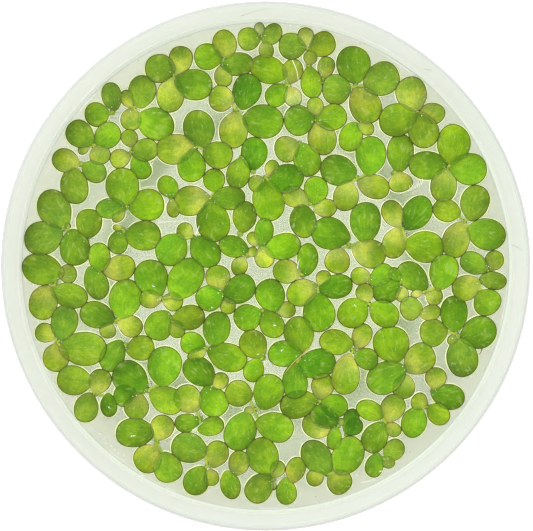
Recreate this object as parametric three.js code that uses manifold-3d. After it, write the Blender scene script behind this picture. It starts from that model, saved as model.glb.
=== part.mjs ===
// A bowl of giant duckweed: floating colonies of oval fronds on the water in a shallow white plastic bowl.
// Millimetres, +Z up. The origin is on the surface that the bowl stands on, under its centre.
import * as THREE from 'three';
import { mergeVertices } from 'three/addons/utils/BufferGeometryUtils.js';
import Module from 'manifold-3d';

const wasm = await Module();
wasm.setup();

// Driving dimensions of the bowl
const RIM_RADIUS = 60;
const RIM_HEIGHT = 45;
const WALL = 1.4;
const FOOT_RADIUS = 37;
const FOOT_WIDTH = 2.5;
const FOOT_HEIGHT = 1.4;
const FLOOR_THICKNESS = 1.6;
const ROUND_STEPS = 48;
const WALL_STEPS = 5;

// Water level, and the clearance between touching pieces
const WATER_LEVEL = 37;
const GAP = 0.3;

// Fronds: they float with their rims a little above the water
const FLOAT_HEIGHT = WATER_LEVEL + 0.62;
const CROWN = 0.12;
const LARGEST_CROWN = 0.45;
const KEEL = 0.28;
const FLOAT_RADIUS = 56.45;
const EGG_SHAPE = 0.1;
const POLYGON_GROWTH = 1.045;
const SMALL_FROND = 3.4;
const SHORTEST_EDGE = 0.3;
const HUB_RADIUS = 0.85;
const STALK_WIDTH = 0.9;
const STALK_REACH = 1.1;

// The kinds of outline, in the order in which a raft takes them
const FROND = 0;
const HUB = 1;
const STALK = 2;

const LEAF_COLOURS = {
  Y: 0xa9bd4a,
  P: 0xb8c57c,
  F: 0x7cb52a,
  M: 0x769c2e,
  D: 0x4f880e,
  O: 0x8c9a3c,
};

// The plants, raft by raft. A raft is one colony, or two or more whose fronds have slid over each other.
// A plant is its node's x and y, then its fronds from the lowest to the topmost. A frond is the x and y of
// its base, the x and y of its tip, its width and its shade: Y young yellow-green, P pale young, F fresh
// bright green, M mature, D deep green, O olive. A second letter is a lean towards that shade.
const RAFTS = [
  [
    [-35.4, 35.5, [
      [-36.0, 35.4, -41.8, 34.6, 5.6, "F"], [-34.9, 35.7, -36.1, 42.4, 4.6, "M"],
    ]],
    [-30.5, 36.6, [
      [-31.3, 36.5, -32.7, 40.7, 3.0, "Y"], [-30.6, 36.6, -31.5, 31.5, 4.9, "Y"],
      [-28.9, 36.3, -28.2, 44.1, 6.3, "M"], [-30.0, 34.5, -21.5, 31.4, 7.2, "F"],
    ]],
  ],
  [
    [-21.2, 43.8, [
      [-20.2, 44.1, -19.2, 50.9, 5.5, "Y"], [-21.2, 43.8, -22.6, 35.7, 6.2, "Y"],
      [-20.7, 45.7, -27.9, 45.5, 6.5, "M"], [-21.5, 42.5, -12.5, 41.3, 7.0, "MD"],
    ]],
  ],
  [
    [-9.8, 47.0, [
      [-8.6, 47.7, -10.2, 54.6, 5.4, "Y"], [-10.0, 46.6, -9.6, 41.5, 4.2, "Y"],
      [-9.9, 47.8, -16.5, 48.9, 6.1, "F"], [-10.6, 46.0, -3.0, 47.1, 5.4, "OD"],
    ]],
  ],
  [
    [-1.1, 53.0, [
      [-1.2, 53.2, -1.6, 56.3, 2.5, "Y"], [-0.4, 52.0, 0.6, 48.1, 3.5, "Y"],
      [-1.0, 53.2, -6.5, 51.8, 5.2, "F"], [-0.4, 50.9, 3.1, 55.8, 4.2, "M"],
    ]],
    [5.2, 42.1, [
      [5.6, 41.6, 6.9, 36.9, 4.1, "Y"], [5.4, 42.1, 6.9, 47.6, 4.9, "YO"],
      [5.1, 43.9, -3.3, 46.6, 6.3, "F"], [4.7, 41.8, 0.7, 37.5, 5.0, "F"],
    ]],
  ],
  [
    [9.7, 50.3, [
      [9.7, 50.3, 8.9, 55.2, 3.8, "Y"], [9.6, 50.8, 2.9, 50.8, 6.0, "M"],
      [9.9, 49.6, 16.0, 52.6, 5.6, "M"],
    ]],
    [10.0, 46.2, [
      [10.0, 46.3, 10.6, 49.7, 3.2, "O"], [10.1, 46.2, 11.0, 38.9, 4.9, "F"],
    ]],
  ],
  [
    [13.3, 43.2, [
      [13.4, 43.3, 14.5, 48.4, 4.0, "O"],
    ]],
  ],
  [
    [20.8, 41.6, [
      [21.0, 41.6, 24.7, 33.3, 7.2, "YO"], [19.9, 41.0, 13.2, 40.6, 6.9, "M"],
      [21.1, 42.0, 19.5, 50.8, 7.6, "MD"], [22.6, 41.2, 30.7, 45.0, 7.4, "M"],
    ]],
  ],
  [
    [11.5, 33.6, [
      [12.0, 34.5, 11.1, 38.9, 3.8, "Y"], [12.0, 33.5, 13.9, 26.0, 6.6, "Y"],
      [11.3, 34.8, 4.6, 32.7, 7.0, "MD"], [11.5, 33.6, 18.6, 34.9, 5.9, "F"],
    ]],
    [7.8, 28.3, [
      [7.8, 28.3, 2.4, 26.0, 6.0, "Y"], [7.8, 28.4, 11.0, 21.1, 6.2, "MF"],
    ]],
  ],
  [
    [20.9, 32.6, [
      [21.0, 32.6, 25.0, 31.2, 3.2, "Y"], [20.2, 33.3, 19.2, 26.6, 5.4, "F"],
    ]],
  ],
  [
    [-6.9, 35.9, [
      [-7.0, 38.2, -13.0, 39.0, 5.9, "YM"], [-6.8, 35.8, -7.9, 27.5, 6.6, "Y"],
      [-5.6, 36.0, -3.3, 44.1, 6.4, "D"], [-5.6, 34.0, 3.8, 32.9, 7.7, "MD"],
    ]],
  ],
  [
    [-16.0, 27.6, [
      [-16.0, 27.6, -25.0, 26.5, 6.9, "Y"], [-16.6, 27.3, -17.5, 19.6, 6.4, "F"],
      [-14.5, 26.9, -8.0, 24.5, 6.3, "FO"], [-14.2, 27.0, -16.4, 35.7, 7.0, "OD"],
    ]],
  ],
  [
    [-31.1, 26.0, [
      [-31.2, 25.6, -35.8, 24.2, 4.5, "Y"], [-30.8, 25.0, -27.2, 20.6, 4.5, "F"],
      [-30.8, 27.4, -32.0, 31.4, 3.9, "OY"], [-31.1, 26.2, -25.0, 27.3, 5.2, "M"],
    ]],
  ],
  [
    [-39.9, 27.9, [
      [-40.9, 27.6, -43.3, 26.2, 2.2, "Y"], [-39.3, 27.9, -37.4, 23.7, 4.9, "Y"],
      [-39.2, 27.6, -34.2, 32.2, 5.7, "F"], [-39.7, 28.4, -45.8, 32.3, 6.0, "MD"],
    ]],
    [-42.8, 23.6, [
      [-43.0, 23.7, -49.3, 25.0, 5.5, "YO"], [-44.9, 23.0, -43.6, 14.6, 6.4, "M"],
      [-42.3, 23.5, -37.2, 20.4, 5.0, "M"],
    ]],
  ],
  [
    [-46.6, 8.6, [
      [-46.2, 8.8, -45.2, 9.8, 1.5, "Y"], [-46.0, 8.8, -51.3, 17.1, 7.4, "MO"],
      [-46.9, 8.2, -55.5, 4.9, 7.7, "M"], [-44.7, 8.7, -43.5, 0.3, 6.9, "MD"],
    ]],
    [-41.4, 6.0, [
      [-41.3, 6.3, -40.4, 13.0, 6.0, "MO"],
    ]],
  ],
  [
    [-32.1, 13.7, [
      [-32.4, 12.6, -35.3, 10.4, 2.2, "Y"], [-31.8, 13.6, -23.6, 14.5, 7.2, "F"],
      [-32.1, 13.6, -39.0, 13.1, 4.7, "MD"], [-32.0, 13.8, -33.9, 22.4, 7.5, "MF"],
    ]],
  ],
  [
    [-33.1, 8.5, [
      [-33.1, 8.6, -35.3, 9.0, 1.5, "Y"], [-33.6, 8.4, -34.5, 2.9, 4.6, "M"],
      [-32.8, 7.0, -24.3, 7.0, 6.7, "M"],
    ]],
  ],
  [
    [-21.8, 15.9, [
      [-21.7, 15.6, -21.1, 11.3, 3.1, "YF"], [-20.6, 16.0, -24.2, 20.3, 4.4, "F"],
    ]],
    [-12.8, 15.6, [
      [-12.8, 15.6, -20.9, 14.6, 6.9, "YO"], [-11.2, 17.0, -12.5, 22.3, 5.0, "F"],
      [-12.5, 15.4, -4.9, 16.0, 5.4, "M"], [-13.0, 15.4, -11.4, 5.9, 7.6, "MD"],
    ]],
    [-5.9, 7.5, [
      [-5.3, 7.6, -4.5, 14.7, 5.5, "MO"],
    ]],
  ],
  [
    [-2.9, 21.9, [
      [-3.0, 22.0, -2.4, 29.6, 6.0, "D"],
    ]],
    [-5.5, 25.1, [
      [-5.5, 25.1, -7.0, 18.1, 5.4, "MO"],
    ]],
  ],
  [
    [0.0, 20.4, [
      [0.0, 20.0, -3.8, 18.3, 3.9, "Y"], [0.5, 20.8, 2.2, 24.3, 3.2, "YO"],
      [-0.4, 20.3, 1.4, 10.6, 7.1, "MF"], [0.5, 19.0, 8.5, 21.2, 6.5, "D"],
    ]],
    [10.1, 14.6, [
      [10.0, 14.9, 3.9, 16.9, 4.9, "Y"], [11.0, 12.9, 16.3, 13.8, 4.3, "Y"],
      [11.3, 14.0, 11.9, 20.6, 5.5, "F"], [8.0, 14.5, 9.2, 6.8, 6.1, "OD"],
    ]],
  ],
  [
    [21.3, 20.2, [
      [19.0, 19.9, 18.2, 12.9, 5.8, "Y"], [21.2, 19.6, 28.3, 17.3, 5.6, "Y"],
      [21.1, 21.3, 12.9, 22.8, 7.0, "MD"], [24.0, 20.7, 24.5, 29.8, 6.8, "F"],
    ]],
  ],
  [
    [19.4, 4.6, [
      [16.9, 4.6, 16.3, -1.7, 5.7, "Y"], [19.9, 4.1, 27.6, 1.9, 6.5, "YO"],
      [19.5, 6.1, 11.0, 8.7, 7.3, "DM"], [23.0, 5.2, 23.1, 14.5, 7.1, "MD"],
    ]],
  ],
  [
    [31.6, 8.6, [
      [31.0, 9.1, 28.0, 14.8, 5.0, "Y"], [30.5, 9.0, 29.0, 1.9, 5.4, "Y"],
      [32.0, 4.9, 40.9, 4.0, 7.2, "F"], [32.0, 8.5, 37.4, 15.4, 6.4, "D"],
    ]],
  ],
  [
    [29.7, 21.5, [
      [30.6, 21.8, 31.6, 17.2, 5.5, "Y"], [30.8, 21.6, 31.4, 30.2, 6.2, "OD"],
    ]],
  ],
  [
    [35.2, 35.5, [
      [34.6, 35.6, 32.8, 43.6, 7.1, "Y"], [35.2, 35.5, 41.5, 35.0, 4.9, "Y"],
      [35.0, 35.2, 26.5, 32.5, 7.3, "MF"], [35.2, 35.5, 37.3, 27.5, 6.9, "M"],
    ]],
  ],
  [
    [42.3, 22.9, [
      [41.4, 22.8, 40.9, 15.0, 6.1, "YF"], [42.3, 22.9, 51.2, 21.9, 7.1, "F"],
      [42.1, 23.2, 33.4, 23.3, 6.5, "MD"], [42.8, 23.2, 44.0, 32.7, 7.5, "F"],
    ]],
    [45.8, 10.2, [
      [45.1, 11.9, 38.9, 13.7, 5.3, "FY"], [45.4, 10.3, 42.8, 2.3, 6.3, "YO"],
      [47.2, 10.4, 49.4, 18.6, 6.6, "MD"], [46.2, 8.3, 55.4, 6.5, 7.1, "FM"],
    ]],
  ],
  [
    [-16.9, 6.7, [
      [-16.7, 7.0, -20.3, 8.9, 4.0, "Y"], [-18.8, 7.0, -24.2, 1.0, 6.9, "FM"],
      [-16.9, 6.7, -11.5, 0.4, 6.3, "DM"],
    ]],
  ],
  [
    [-4.2, 2.5, [
      [-5.6, 2.4, -6.4, -2.1, 3.8, "Y"], [-4.2, 2.6, -2.0, 3.9, 2.4, "Y"],
      [-3.9, 3.6, -10.5, 5.3, 5.0, "MD"],
    ]],
    [-1.0, 4.4, [
      [-2.0, 4.6, -3.6, 7.7, 2.9, "Y"], [-0.8, 4.6, 0.1, -0.3, 4.6, "P"],
      [-1.0, 4.4, 0.1, 10.8, 4.4, "MF"], [-0.2, 3.3, 7.8, 5.5, 6.0, "F"],
    ]],
  ],
  [
    [8.6, -2.1, [
      [8.2, -1.6, 1.9, -0.9, 5.6, "YF"], [9.5, -2.3, 9.9, 5.0, 4.8, "FD"],
    ]],
  ],
  [
    [-48.6, -3.8, [
      [-48.0, -2.2, -43.7, -1.5, 4.3, "OY"], [-50.2, -4.3, -52.4, -12.3, 6.6, "YO"],
      [-46.6, -1.8, -56.2, 0.2, 7.1, "M"], [-49.9, -5.6, -41.4, -7.8, 5.7, "MD"],
    ]],
  ],
  [
    [-48.1, -17.7, [
      [-48.6, -16.6, -53.1, -14.4, 4.5, "Y"], [-47.4, -17.6, -49.3, -24.4, 6.0, "YO"],
      [-47.2, -17.4, -45.9, -9.2, 6.1, "M"], [-47.7, -18.9, -37.1, -19.3, 7.7, "MF"],
    ]],
    [-32.5, -18.3, [
      [-32.4, -19.3, -25.8, -18.7, 5.7, "FY"], [-33.3, -17.1, -37.1, -24.0, 5.5, "MD"],
    ]],
  ],
  [
    [-39.2, -1.2, [
      [-38.3, -1.5, -38.5, 5.2, 5.1, "F"], [-37.6, -1.4, -30.3, 0.3, 5.9, "Y"],
      [-40.9, -0.2, -37.6, -7.3, 5.4, "MD"],
    ]],
  ],
  [
    [-34.5, -12.6, [
      [-35.8, -13.0, -37.0, -16.6, 3.8, "Y"], [-34.2, -13.2, -28.6, -14.5, 5.0, "Y"],
      [-34.8, -12.6, -42.6, -10.2, 6.0, "MD"], [-33.2, -12.4, -31.7, -3.3, 7.4, "F"],
    ]],
  ],
  [
    [-23.9, -7.6, [
      [-23.9, -7.7, -29.1, -7.5, 4.3, "Y"], [-24.0, -7.6, -19.2, -8.7, 4.3, "Y"],
      [-24.4, -7.0, -28.0, 0.9, 7.6, "MD"], [-21.4, -7.7, -16.0, 1.2, 7.6, "FM"],
    ]],
  ],
  [
    [-21.9, -12.0, [
      [-21.8, -12.4, -19.6, -16.4, 3.8, "YO"], [-22.3, -10.5, -26.6, -16.5, 6.3, "FM"],
      [-21.8, -12.8, -14.3, -11.2, 5.7, "MO"],
    ]],
  ],
  [
    [-13.6, -19.1, [
      [-13.8, -19.2, -17.8, -21.5, 3.0, "Y"], [-13.9, -18.6, -19.5, -17.1, 5.1, "F"],
      [-12.0, -18.8, -10.7, -10.7, 6.2, "MF"], [-13.5, -19.4, -4.7, -22.5, 6.4, "FY"],
    ]],
    [-13.0, -28.2, [
      [-11.8, -28.5, -9.4, -24.9, 3.7, "YO"], [-12.0, -27.2, -18.2, -21.9, 6.4, "D"],
      [-14.2, -27.9, -10.3, -34.3, 6.6, "F"],
    ]],
  ],
  [
    [-9.9, -6.5, [
      [-9.0, -7.0, -8.5, -11.1, 3.6, "Y"], [-10.2, -6.0, -11.6, 0.0, 5.6, "YO"],
      [-9.8, -5.7, -15.6, -8.8, 5.9, "F"], [-9.6, -7.7, -2.9, -3.4, 6.3, "DM"],
    ]],
  ],
  [
    [2.6, -10.9, [
      [2.8, -11.0, 6.7, -9.4, 3.8, "Y"], [2.9, -10.5, -0.4, -3.5, 6.7, "F"],
    ]],
    [-0.7, -10.4, [
      [-1.0, -10.4, -6.9, -13.2, 6.2, "FM"], [-0.5, -10.4, 3.1, -16.2, 5.4, "MF"],
    ]],
  ],
  [
    [-0.6, -21.2, [
      [-0.4, -21.0, -4.9, -15.6, 6.2, "MO"], [-1.6, -21.2, -3.7, -26.6, 4.6, "F"],
    ]],
  ],
  [
    [8.0, -20.9, [
      [8.9, -20.0, 6.7, -11.9, 6.6, "M"], [8.5, -20.2, 0.8, -20.3, 6.0, "FD"],
      [6.8, -22.2, 6.7, -30.4, 5.8, "FM"], [7.3, -24.1, 15.8, -21.3, 6.7, "D"],
    ]],
    [12.4, -31.2, [
      [12.4, -31.0, 13.8, -24.9, 5.2, "Y"], [12.1, -30.5, 3.6, -33.1, 6.3, "M"],
      [12.7, -31.4, 18.7, -33.0, 5.4, "F"],
    ]],
    [16.7, -36.9, [
      [14.9, -38.6, 8.9, -35.5, 5.7, "Y"], [16.2, -37.0, 15.5, -42.3, 3.4, "F"],
      [17.0, -37.0, 17.8, -35.2, 1.6, "Y"], [17.0, -36.4, 10.7, -33.4, 5.3, "D"],
    ]],
    [18.8, -39.0, [
      [18.6, -38.9, 21.9, -35.7, 3.9, "D"], [18.9, -39.1, 20.3, -33.1, 3.8, "D"],
    ]],
  ],
  [
    [12.1, -4.9, [
      [12.3, -4.6, 14.2, -1.2, 3.4, "Y"], [12.1, -4.6, 5.2, -7.4, 6.1, "YF"],
      [12.1, -6.2, 12.5, -14.9, 7.4, "FD"], [12.3, -5.6, 19.8, -4.0, 5.6, "D"],
    ]],
  ],
  [
    [24.4, -3.6, [
      [24.4, -2.4, 19.7, -2.3, 4.1, "YF"], [24.6, -4.6, 28.6, 0.0, 4.5, "F"],
    ]],
    [36.9, -5.9, [
      [37.0, -6.3, 40.7, -7.7, 4.2, "Y"], [36.4, -5.9, 33.6, -6.8, 2.0, "YO"],
      [37.2, -5.3, 31.1, 0.0, 6.0, "MD"], [39.6, -5.6, 42.4, 2.4, 6.4, "F"],
    ]],
    [31.2, -3.8, [
      [31.0, -3.6, 28.8, -0.6, 2.9, "F"], [31.4, -4.4, 31.6, -8.3, 3.2, "Y"],
      [31.4, -4.3, 25.0, -7.0, 5.4, "D"],
    ]],
    [36.2, -10.8, [
      [36.3, -9.4, 31.1, -10.1, 5.4, "FY"], [35.6, -11.7, 40.3, -10.0, 3.6, "YO"],
    ]],
  ],
  [
    [44.0, -15.7, [
      [44.1, -15.9, 42.3, -18.0, 2.2, "Y"], [42.1, -14.9, 35.8, -15.8, 6.4, "M"],
      [43.8, -15.4, 43.3, -7.1, 6.2, "D"], [45.0, -17.0, 53.2, -13.9, 7.3, "DM"],
      [44.2, -16.6, 46.5, -25.5, 7.2, "M"],
    ]],
  ],
  [
    [51.4, -1.1, [
      [51.4, -1.0, 54.1, 3.3, 4.3, "OY"], [51.3, -1.1, 45.2, 2.1, 4.9, "MF"],
    ]],
  ],
  [
    [49.4, -3.7, [
      [49.3, -3.2, 43.6, -6.6, 5.8, "YO"], [48.8, -6.0, 53.2, -10.5, 6.5, "FM"],
      [49.3, -2.9, 55.7, -3.8, 4.2, "OM"],
    ]],
  ],
  [
    [32.0, -23.7, [
      [32.3, -24.9, 31.6, -30.6, 5.2, "YF"], [32.3, -24.3, 38.3, -19.1, 6.8, "YM"],
      [30.4, -22.4, 27.8, -14.3, 8.2, "F"], [32.2, -23.3, 23.9, -27.8, 7.2, "FM"],
    ]],
  ],
  [
    [20.2, -19.6, [
      [21.0, -19.2, 23.3, -13.5, 4.5, "YO"], [19.0, -20.3, 18.0, -29.4, 6.4, "YF"],
      [20.2, -18.2, 12.7, -17.0, 5.8, "FY"], [20.5, -20.1, 25.7, -22.5, 4.9, "FM"],
    ]],
  ],
  [
    [-39.5, -29.6, [
      [-39.3, -29.6, -37.4, -24.0, 5.1, "YO"], [-39.8, -27.0, -48.3, -25.9, 6.6, "MF"],
      [-40.4, -29.2, -42.4, -36.1, 5.5, "M"], [-36.5, -29.3, -36.0, -34.9, 3.9, "D"],
    ]],
  ],
  [
    [23.7, -8.7, [
      [23.6, -8.5, 22.3, -4.2, 4.2, "Y"], [22.9, -7.8, 17.8, -13.4, 6.6, "F"],
      [24.1, -8.9, 30.2, -12.9, 6.0, "F"],
    ]],
  ],
  [
    [-15.2, -35.2, [
      [-15.6, -33.6, -20.0, -28.2, 6.2, "Y"], [-15.0, -35.7, -20.9, -36.7, 4.2, "MF"],
      [-15.8, -38.0, -9.8, -36.2, 4.3, "FM"],
    ]],
    [-27.2, -28.6, [
      [-28.8, -29.4, -30.7, -35.2, 5.7, "YF"], [-26.9, -29.0, -19.3, -32.6, 6.1, "FY"],
      [-27.4, -28.6, -34.6, -23.6, 7.5, "F"], [-24.2, -28.0, -22.6, -18.8, 7.6, "F"],
    ]],
    [-29.7, -28.9, [
      [-29.7, -28.9, -34.9, -30.7, 5.1, "DF"],
    ]],
  ],
  [
    [-2.7, -33.2, [
      [-2.7, -33.2, -4.9, -33.3, 1.7, "Y"], [-2.9, -30.2, -9.2, -28.8, 6.0, "FY"],
      [-1.1, -33.1, 2.2, -25.4, 6.9, "F"], [-3.9, -33.7, -7.5, -42.3, 7.0, "MF"],
      [-2.3, -35.7, 6.1, -38.5, 6.7, "F"],
    ]],
  ],
  [
    [-13.4, -46.3, [
      [-13.3, -46.7, -11.9, -50.8, 3.5, "YO"], [-12.2, -46.6, -10.4, -40.6, 5.3, "OY"],
      [-13.3, -43.2, -21.5, -41.0, 6.8, "M"], [-14.3, -46.2, -17.5, -52.8, 5.7, "M"],
    ]],
  ],
  [
    [-25.2, -40.8, [
      [-25.0, -40.2, -23.0, -34.7, 5.5, "Y"], [-24.7, -41.8, -29.5, -47.0, 6.5, "YO"],
      [-25.4, -38.4, -34.7, -38.6, 6.6, "MD"], [-23.8, -42.9, -21.5, -50.0, 6.4, "FM"],
    ]],
  ],
  [
    [-8.0, -48.0, [
      [-6.9, -48.5, -5.5, -42.8, 4.8, "O"], [-9.2, -47.2, -7.2, -53.7, 4.6, "FM"],
    ]],
    [1.8, -49.3, [
      [1.9, -49.0, 3.4, -45.1, 3.5, "YO"], [1.8, -49.6, 1.8, -51.9, 1.5, "Y"],
      [1.0, -48.3, -2.2, -40.1, 7.3, "FM"], [1.2, -48.1, -3.9, -54.1, 6.0, "M"],
    ]],
  ],
  [
    [27.7, -36.2, [
      [27.7, -36.6, 31.0, -38.8, 3.3, "Y"], [27.8, -36.0, 30.7, -30.0, 5.5, "YO"],
      [27.4, -34.9, 21.3, -32.1, 4.6, "F"], [27.1, -36.0, 23.7, -42.8, 5.8, "MF"],
    ]],
  ],
  [
    [27.3, -44.6, [
      [28.0, -43.8, 28.7, -46.8, 3.0, "YO"], [28.0, -45.0, 31.1, -40.2, 4.6, "M"],
      [26.0, -43.1, 24.4, -48.8, 4.2, "FM"],
    ]],
  ],
  [
    [14.3, -48.1, [
      [13.4, -47.7, 9.6, -50.0, 3.9, "Y"], [15.0, -47.3, 18.8, -52.1, 5.9, "OY"],
      [14.9, -48.0, 9.3, -41.0, 6.5, "M"], [16.5, -48.3, 21.0, -40.0, 7.1, "FM"],
    ]],
  ],
  [
    [4.7, -49.6, [
      [5.8, -50.1, 7.9, -44.4, 4.5, "O"], [4.4, -48.9, 5.1, -55.1, 4.8, "FM"],
    ]],
  ],
  [
    [38.7, -28.9, [
      [38.9, -28.6, 39.6, -23.5, 4.8, "YO"], [38.2, -29.5, 45.9, -30.8, 5.8, "D"],
    ]],
    [37.2, -32.5, [
      [37.4, -32.2, 33.9, -30.6, 4.2, "Y"], [35.5, -32.3, 33.2, -39.5, 5.8, "F"],
      [37.4, -32.3, 42.0, -35.9, 4.8, "FM"],
    ]],
  ],
];

// Outline of one frond seen from above: an egg, a little fuller towards its base, counterclockwise
function frondOutline([baseX, baseY, tipX, tipY, width]) {
  const base = new THREE.Vector2(baseX, baseY);
  const along = new THREE.Vector2(tipX, tipY).sub(base);
  const length = along.length();
  along.normalize();
  const across = new THREE.Vector2(-along.y, along.x);
  const corners = width < SMALL_FROND ? 7 : 8;
  const outline = [];
  for (let i = 0; i < corners; i += 1) {
    const turn = (2 * Math.PI * i) / corners;
    const forward = (length / 2) * (1 - POLYGON_GROWTH * Math.cos(turn));
    const sideways = (-width / 2) * POLYGON_GROWTH * Math.sin(turn) * (1 - EGG_SHAPE * Math.cos(turn));
    outline.push(base.clone().addScaledVector(along, forward).addScaledVector(across, sideways));
  }
  return outline;
}

// Small round outline where the fronds of a colony meet
function hubOutline(x, y) {
  const corners = 7;
  const outline = [];
  for (let i = 0; i < corners; i += 1) {
    const turn = (2 * Math.PI * i) / corners;
    outline.push(new THREE.Vector2(x + HUB_RADIUS * Math.cos(turn), y + HUB_RADIUS * Math.sin(turn)));
  }
  return outline;
}

// Short stalk from the node into a frond whose base lies away from it
function stalkOutline(x, y, [baseX, baseY, tipX, tipY]) {
  const node = new THREE.Vector2(x, y);
  const base = new THREE.Vector2(baseX, baseY);
  const inward = new THREE.Vector2(tipX, tipY).sub(base).normalize();
  const end = base.clone().addScaledVector(inward, STALK_REACH);
  const along = end.clone().sub(node).normalize();
  const across = new THREE.Vector2(-along.y, along.x).multiplyScalar(STALK_WIDTH / 2);
  return [
    node.clone().sub(across),
    end.clone().sub(across),
    end.clone().add(across),
    node.clone().add(across),
  ];
}

// Keeps the part of a convex outline that lies behind a line
function cutOutline(outline, normal, limit) {
  const kept = [];
  outline.forEach((point, i) => {
    const next = outline[(i + 1) % outline.length];
    const here = point.dot(normal) - limit;
    const there = next.dot(normal) - limit;
    if (here <= 0) kept.push(point);
    if (here * there < 0) kept.push(point.clone().lerp(next, here / (here - there)));
  });
  return kept;
}

// Leaves out the corners that are too close to the one before
function withoutShortEdges(outline) {
  const kept = [];
  for (const point of outline) {
    const last = kept[kept.length - 1];
    if (!last || last.distanceTo(point) > SHORTEST_EDGE) kept.push(point);
  }
  if (kept.length > 3 && kept[0].distanceTo(kept[kept.length - 1]) <= SHORTEST_EDGE) kept.pop();
  return kept;
}

// The direction in which two convex outlines are furthest apart, or overlap least
function widestGap(first, second) {
  let best = null;
  for (const [outline, sign] of [[first, 1], [second, -1]]) {
    outline.forEach((point, i) => {
      const edge = outline[(i + 1) % outline.length].clone().sub(point);
      const normal = new THREE.Vector2(edge.y, -edge.x).normalize().multiplyScalar(sign);
      const reach = Math.max(...first.map((p) => p.dot(normal)));
      const start = Math.min(...second.map((p) => p.dot(normal)));
      if (!best || start - reach > best.gap) {
        best = { normal, gap: start - reach, middle: (start + reach) / 2 };
      }
    });
  }
  return best;
}

// Trims the outlines of different rafts where they touch, so that each raft is clear of the others
function partRafts(shapes) {
  shapes.forEach((shape, i) => {
    for (const other of shapes.slice(i + 1)) {
      if (shape.raft === other.raft || shape.centre.distanceTo(other.centre) > 12) continue;
      const { normal, gap, middle } = widestGap(shape.outline, other.outline);
      if (gap >= GAP) continue;
      const back = normal.clone().negate();
      shape.outline = cutOutline(shape.outline, normal, middle - GAP / 2);
      other.outline = cutOutline(other.outline, back, -(middle + GAP / 2));
    }
  });
}

// A lens with a given outline, domed above the float height and keeled below it
function lensGeometry(outline) {
  const corners = outline.length;
  const centre = new THREE.Vector2();
  outline.forEach((point) => centre.addScaledVector(point, 1 / corners));
  const reach = Math.min(...outline.map((point) => point.distanceTo(centre)));
  const crown = Math.min(LARGEST_CROWN, CROWN + reach * CROWN);
  const geometry = new THREE.SphereGeometry(1, corners, 2);
  const position = geometry.getAttribute('position');
  for (let i = 0; i < position.count; i += 1) {
    const row = Math.floor(i / (corners + 1));
    const corner = outline[(i % (corners + 1)) % corners];
    if (row === 0) position.setXYZ(i, centre.x, centre.y, FLOAT_HEIGHT + crown);
    if (row === 1) position.setXYZ(i, corner.x, corner.y, FLOAT_HEIGHT);
    if (row === 2) position.setXYZ(i, centre.x, centre.y, FLOAT_HEIGHT - KEEL);
  }
  return geometry;
}

function toSolid(geometry) {
  const plain = geometry.clone();
  plain.deleteAttribute('normal');
  plain.deleteAttribute('uv');
  const merged = mergeVertices(plain, 1e-4);
  return new wasm.Manifold(new wasm.Mesh({
    numProp: 3,
    vertProperties: new Float32Array(merged.getAttribute('position').array),
    triVerts: new Uint32Array(merged.getIndex().array),
  }));
}

function toGeometry(solid) {
  const mesh = solid.getMesh();
  const geometry = new THREE.BufferGeometry();
  geometry.setAttribute('position', new THREE.BufferAttribute(new Float32Array(mesh.vertProperties), 3));
  geometry.setIndex(new THREE.BufferAttribute(new Uint32Array(mesh.triVerts), 1));
  geometry.computeVertexNormals();
  return geometry;
}

function named(name, geometry, options) {
  const mesh = new THREE.Mesh(geometry, new THREE.MeshStandardMaterial(options));
  mesh.name = name;
  return mesh;
}

// Half section of the bowl's inner wall, from its lip down to its floor
const innerWall = new THREE.SplineCurve([
  new THREE.Vector2(RIM_RADIUS - WALL, RIM_HEIGHT - 0.7),
  new THREE.Vector2(57.0, WATER_LEVEL),
  new THREE.Vector2(55.2, 29),
  new THREE.Vector2(52.0, 18.5),
  new THREE.Vector2(46.8, 9.8),
  new THREE.Vector2(40.5, 5.0),
  new THREE.Vector2(33.0, FOOT_HEIGHT + FLOOR_THICKNESS),
]);

// Half section of its outer wall, from the foot ring up to its lip
const outerWall = new THREE.SplineCurve([
  new THREE.Vector2(FOOT_RADIUS, 0),
  new THREE.Vector2(41.6, 3.2),
  new THREE.Vector2(48.3, 8.8),
  new THREE.Vector2(53.5, 18),
  new THREE.Vector2(56.7, 29),
  new THREE.Vector2(58.6, 38),
  new THREE.Vector2(RIM_RADIUS, RIM_HEIGHT - 0.8),
]);

function bowl() {
  const profile = [
    new THREE.Vector2(0, FOOT_HEIGHT),
    new THREE.Vector2(FOOT_RADIUS - FOOT_WIDTH - 1, FOOT_HEIGHT),
    new THREE.Vector2(FOOT_RADIUS - FOOT_WIDTH, 0),
    ...outerWall.getPoints(WALL_STEPS),
    new THREE.Vector2(RIM_RADIUS - 0.25, RIM_HEIGHT - 0.2),
    new THREE.Vector2(RIM_RADIUS - WALL / 2, RIM_HEIGHT),
    new THREE.Vector2(RIM_RADIUS - WALL + 0.25, RIM_HEIGHT - 0.2),
    ...innerWall.getPoints(WALL_STEPS),
    new THREE.Vector2(0, FOOT_HEIGHT + FLOOR_THICKNESS),
  ];
  const geometry = new THREE.LatheGeometry(profile, ROUND_STEPS);
  geometry.rotateX(Math.PI / 2);
  return named('bowl', geometry, { color: 0xe9f1e6, roughness: 0.35, metalness: 0 });
}

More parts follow.
